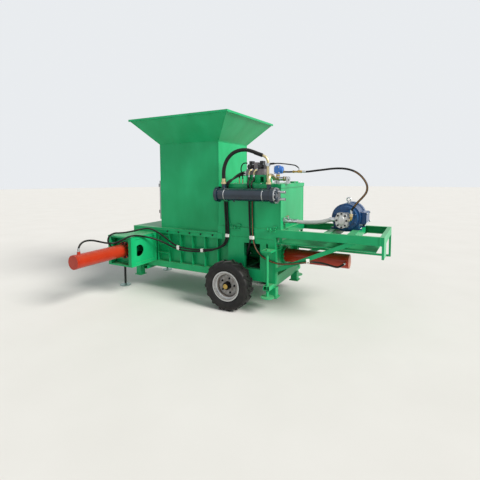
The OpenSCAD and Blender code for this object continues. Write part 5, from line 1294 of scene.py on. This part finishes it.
for end, x, reach, low, boss, rod_finish, disc_finish, slot in (
        ("left", jack_left_x, jack_left_y, 0.0, 0.026, threaded_steel, dipped_zinc, "bright_steel"),
        ("right", jack_right_x, jack_right_y, 0.238, 0.0175, green_thread, green_thread, "green_paint")):
    for side, y in (("near_", -reach), ("far_", reach)):
        body = side + end + "_jack"
        shape = bmesh.new()
        spindle(shape, x, y, low)
        rod = piece(shape, body + "_spindle", rod_finish, body)
        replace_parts(rod, "jack_" + side + end)
        shape = bmesh.new()
        disc(shape, x, y, low, boss)
        piece(shape, body + "_disc", disc_finish, body)
shape = bmesh.new()
for x, reach, z in ((jack_left_x, jack_left_y, 0.470), (jack_right_x, jack_right_y, 0.822)):
    for y in (-reach, reach):
        turned(shape, (x, y, z), up,
               [(0, 0.0250), (0, 0.0360), (0.003, 0.0390), (0.0305, 0.0390), (0.0305, 0.0250)], 6,
               hollow=True)
piece(shape, "jack_screw_nuts", green_enamel, "frame")
leg_sides = [(leg_left_x - leg_half, leg_left_x + leg_half), (leg_right_x - leg_half, leg_right_x + leg_half)]
seams = [[(x, side * 0.393, foot_z), (x, side * half_wide, foot_z)]
         for sides in leg_sides for x in sides for side in (-1, 1)]
seams += [[(x0, side * (half_wide + off), foot_z), (x1, side * (half_wide + off), foot_z)]
          for x0, x1 in leg_sides for side in (-1, 1)]
weld("leg_welds", "frame", seams)

# A ring of round bar is welded under the near beam, to tie the hoses or a rope to.
weld("tie_ring", "frame", [ring_weld((0.652, -0.437, 0.907), to_far, 0.038)], radius=0.007)


# Floor and light
# A plain pale floor under a soft lamp high on the towing side, with a weak one off the near side.
# Matt pale concrete: almost even, so that only the machine's shadow shows on it.
pale_concrete, tree, at = blank("pale_floor")
pale = clouded(tree, at, 1.2, 4.0, "#dddcd8", "#e6e5e2")[1]
surface(tree, Base_Color=pale, Roughness=0.85)
shape = bmesh.new()
bmesh.ops.create_circle(shape, cap_ends=True, radius=60, segments=96)
ground = bpy.data.meshes.new("floor")
shape.to_mesh(ground)
ground.materials.append(pale_concrete)
floor = bpy.data.objects.new("floor", ground)
scene.collection.objects.link(floor)
floor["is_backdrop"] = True


def lamp(name, way, strength, spread, tint):
    """A distant lamp that shines the given way, with shadows as soft as its spread in degrees."""
    light = bpy.data.lights.new(name, "SUN")
    light.energy = strength
    light.angle = math.radians(spread)
    light.color = tint
    holder = bpy.data.objects.new(name, light)
    holder.rotation_euler = Vector(way).to_track_quat("-Z", "Y").to_euler()
    scene.collection.objects.link(holder)


lamp("key", (-1.0, 0.1, -0.70), 4.2, 25, (1.0, 0.97, 0.92))
lamp("fill", (0.4, 1.0, -0.5), 0.25, 60, (0.94, 0.97, 1.0))

# The sky is nearly white to the camera, in reflections and through glass, and dimmer as light.
world = bpy.data.worlds.new("studio")
scene.world = world
world.use_nodes = True
tree = world.node_tree
tree.nodes.clear()
ray = put(tree, "ShaderNodeLightPath").outputs
clear = put(tree, "ShaderNodeMath",
            {0: ray["Is Camera Ray"], 1: ray["Is Transmission Ray"]}, operation="MAXIMUM")
mirror = put(tree, "ShaderNodeMath", {0: clear.outputs[0], 1: ray["Is Glossy Ray"]}, operation="MAXIMUM")
strength = put(tree, "ShaderNodeMapRange", {0: mirror.outputs[0], "To Min": 0.36, "To Max": 0.92})
sky = put(tree, "ShaderNodeBackground", {"Color": linear("#f2f5f8"), "Strength": strength.outputs[0]})
put(tree, "ShaderNodeOutputWorld", {0: sky.outputs[0]})
scene.view_settings.view_transform = "Standard"

low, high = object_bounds()
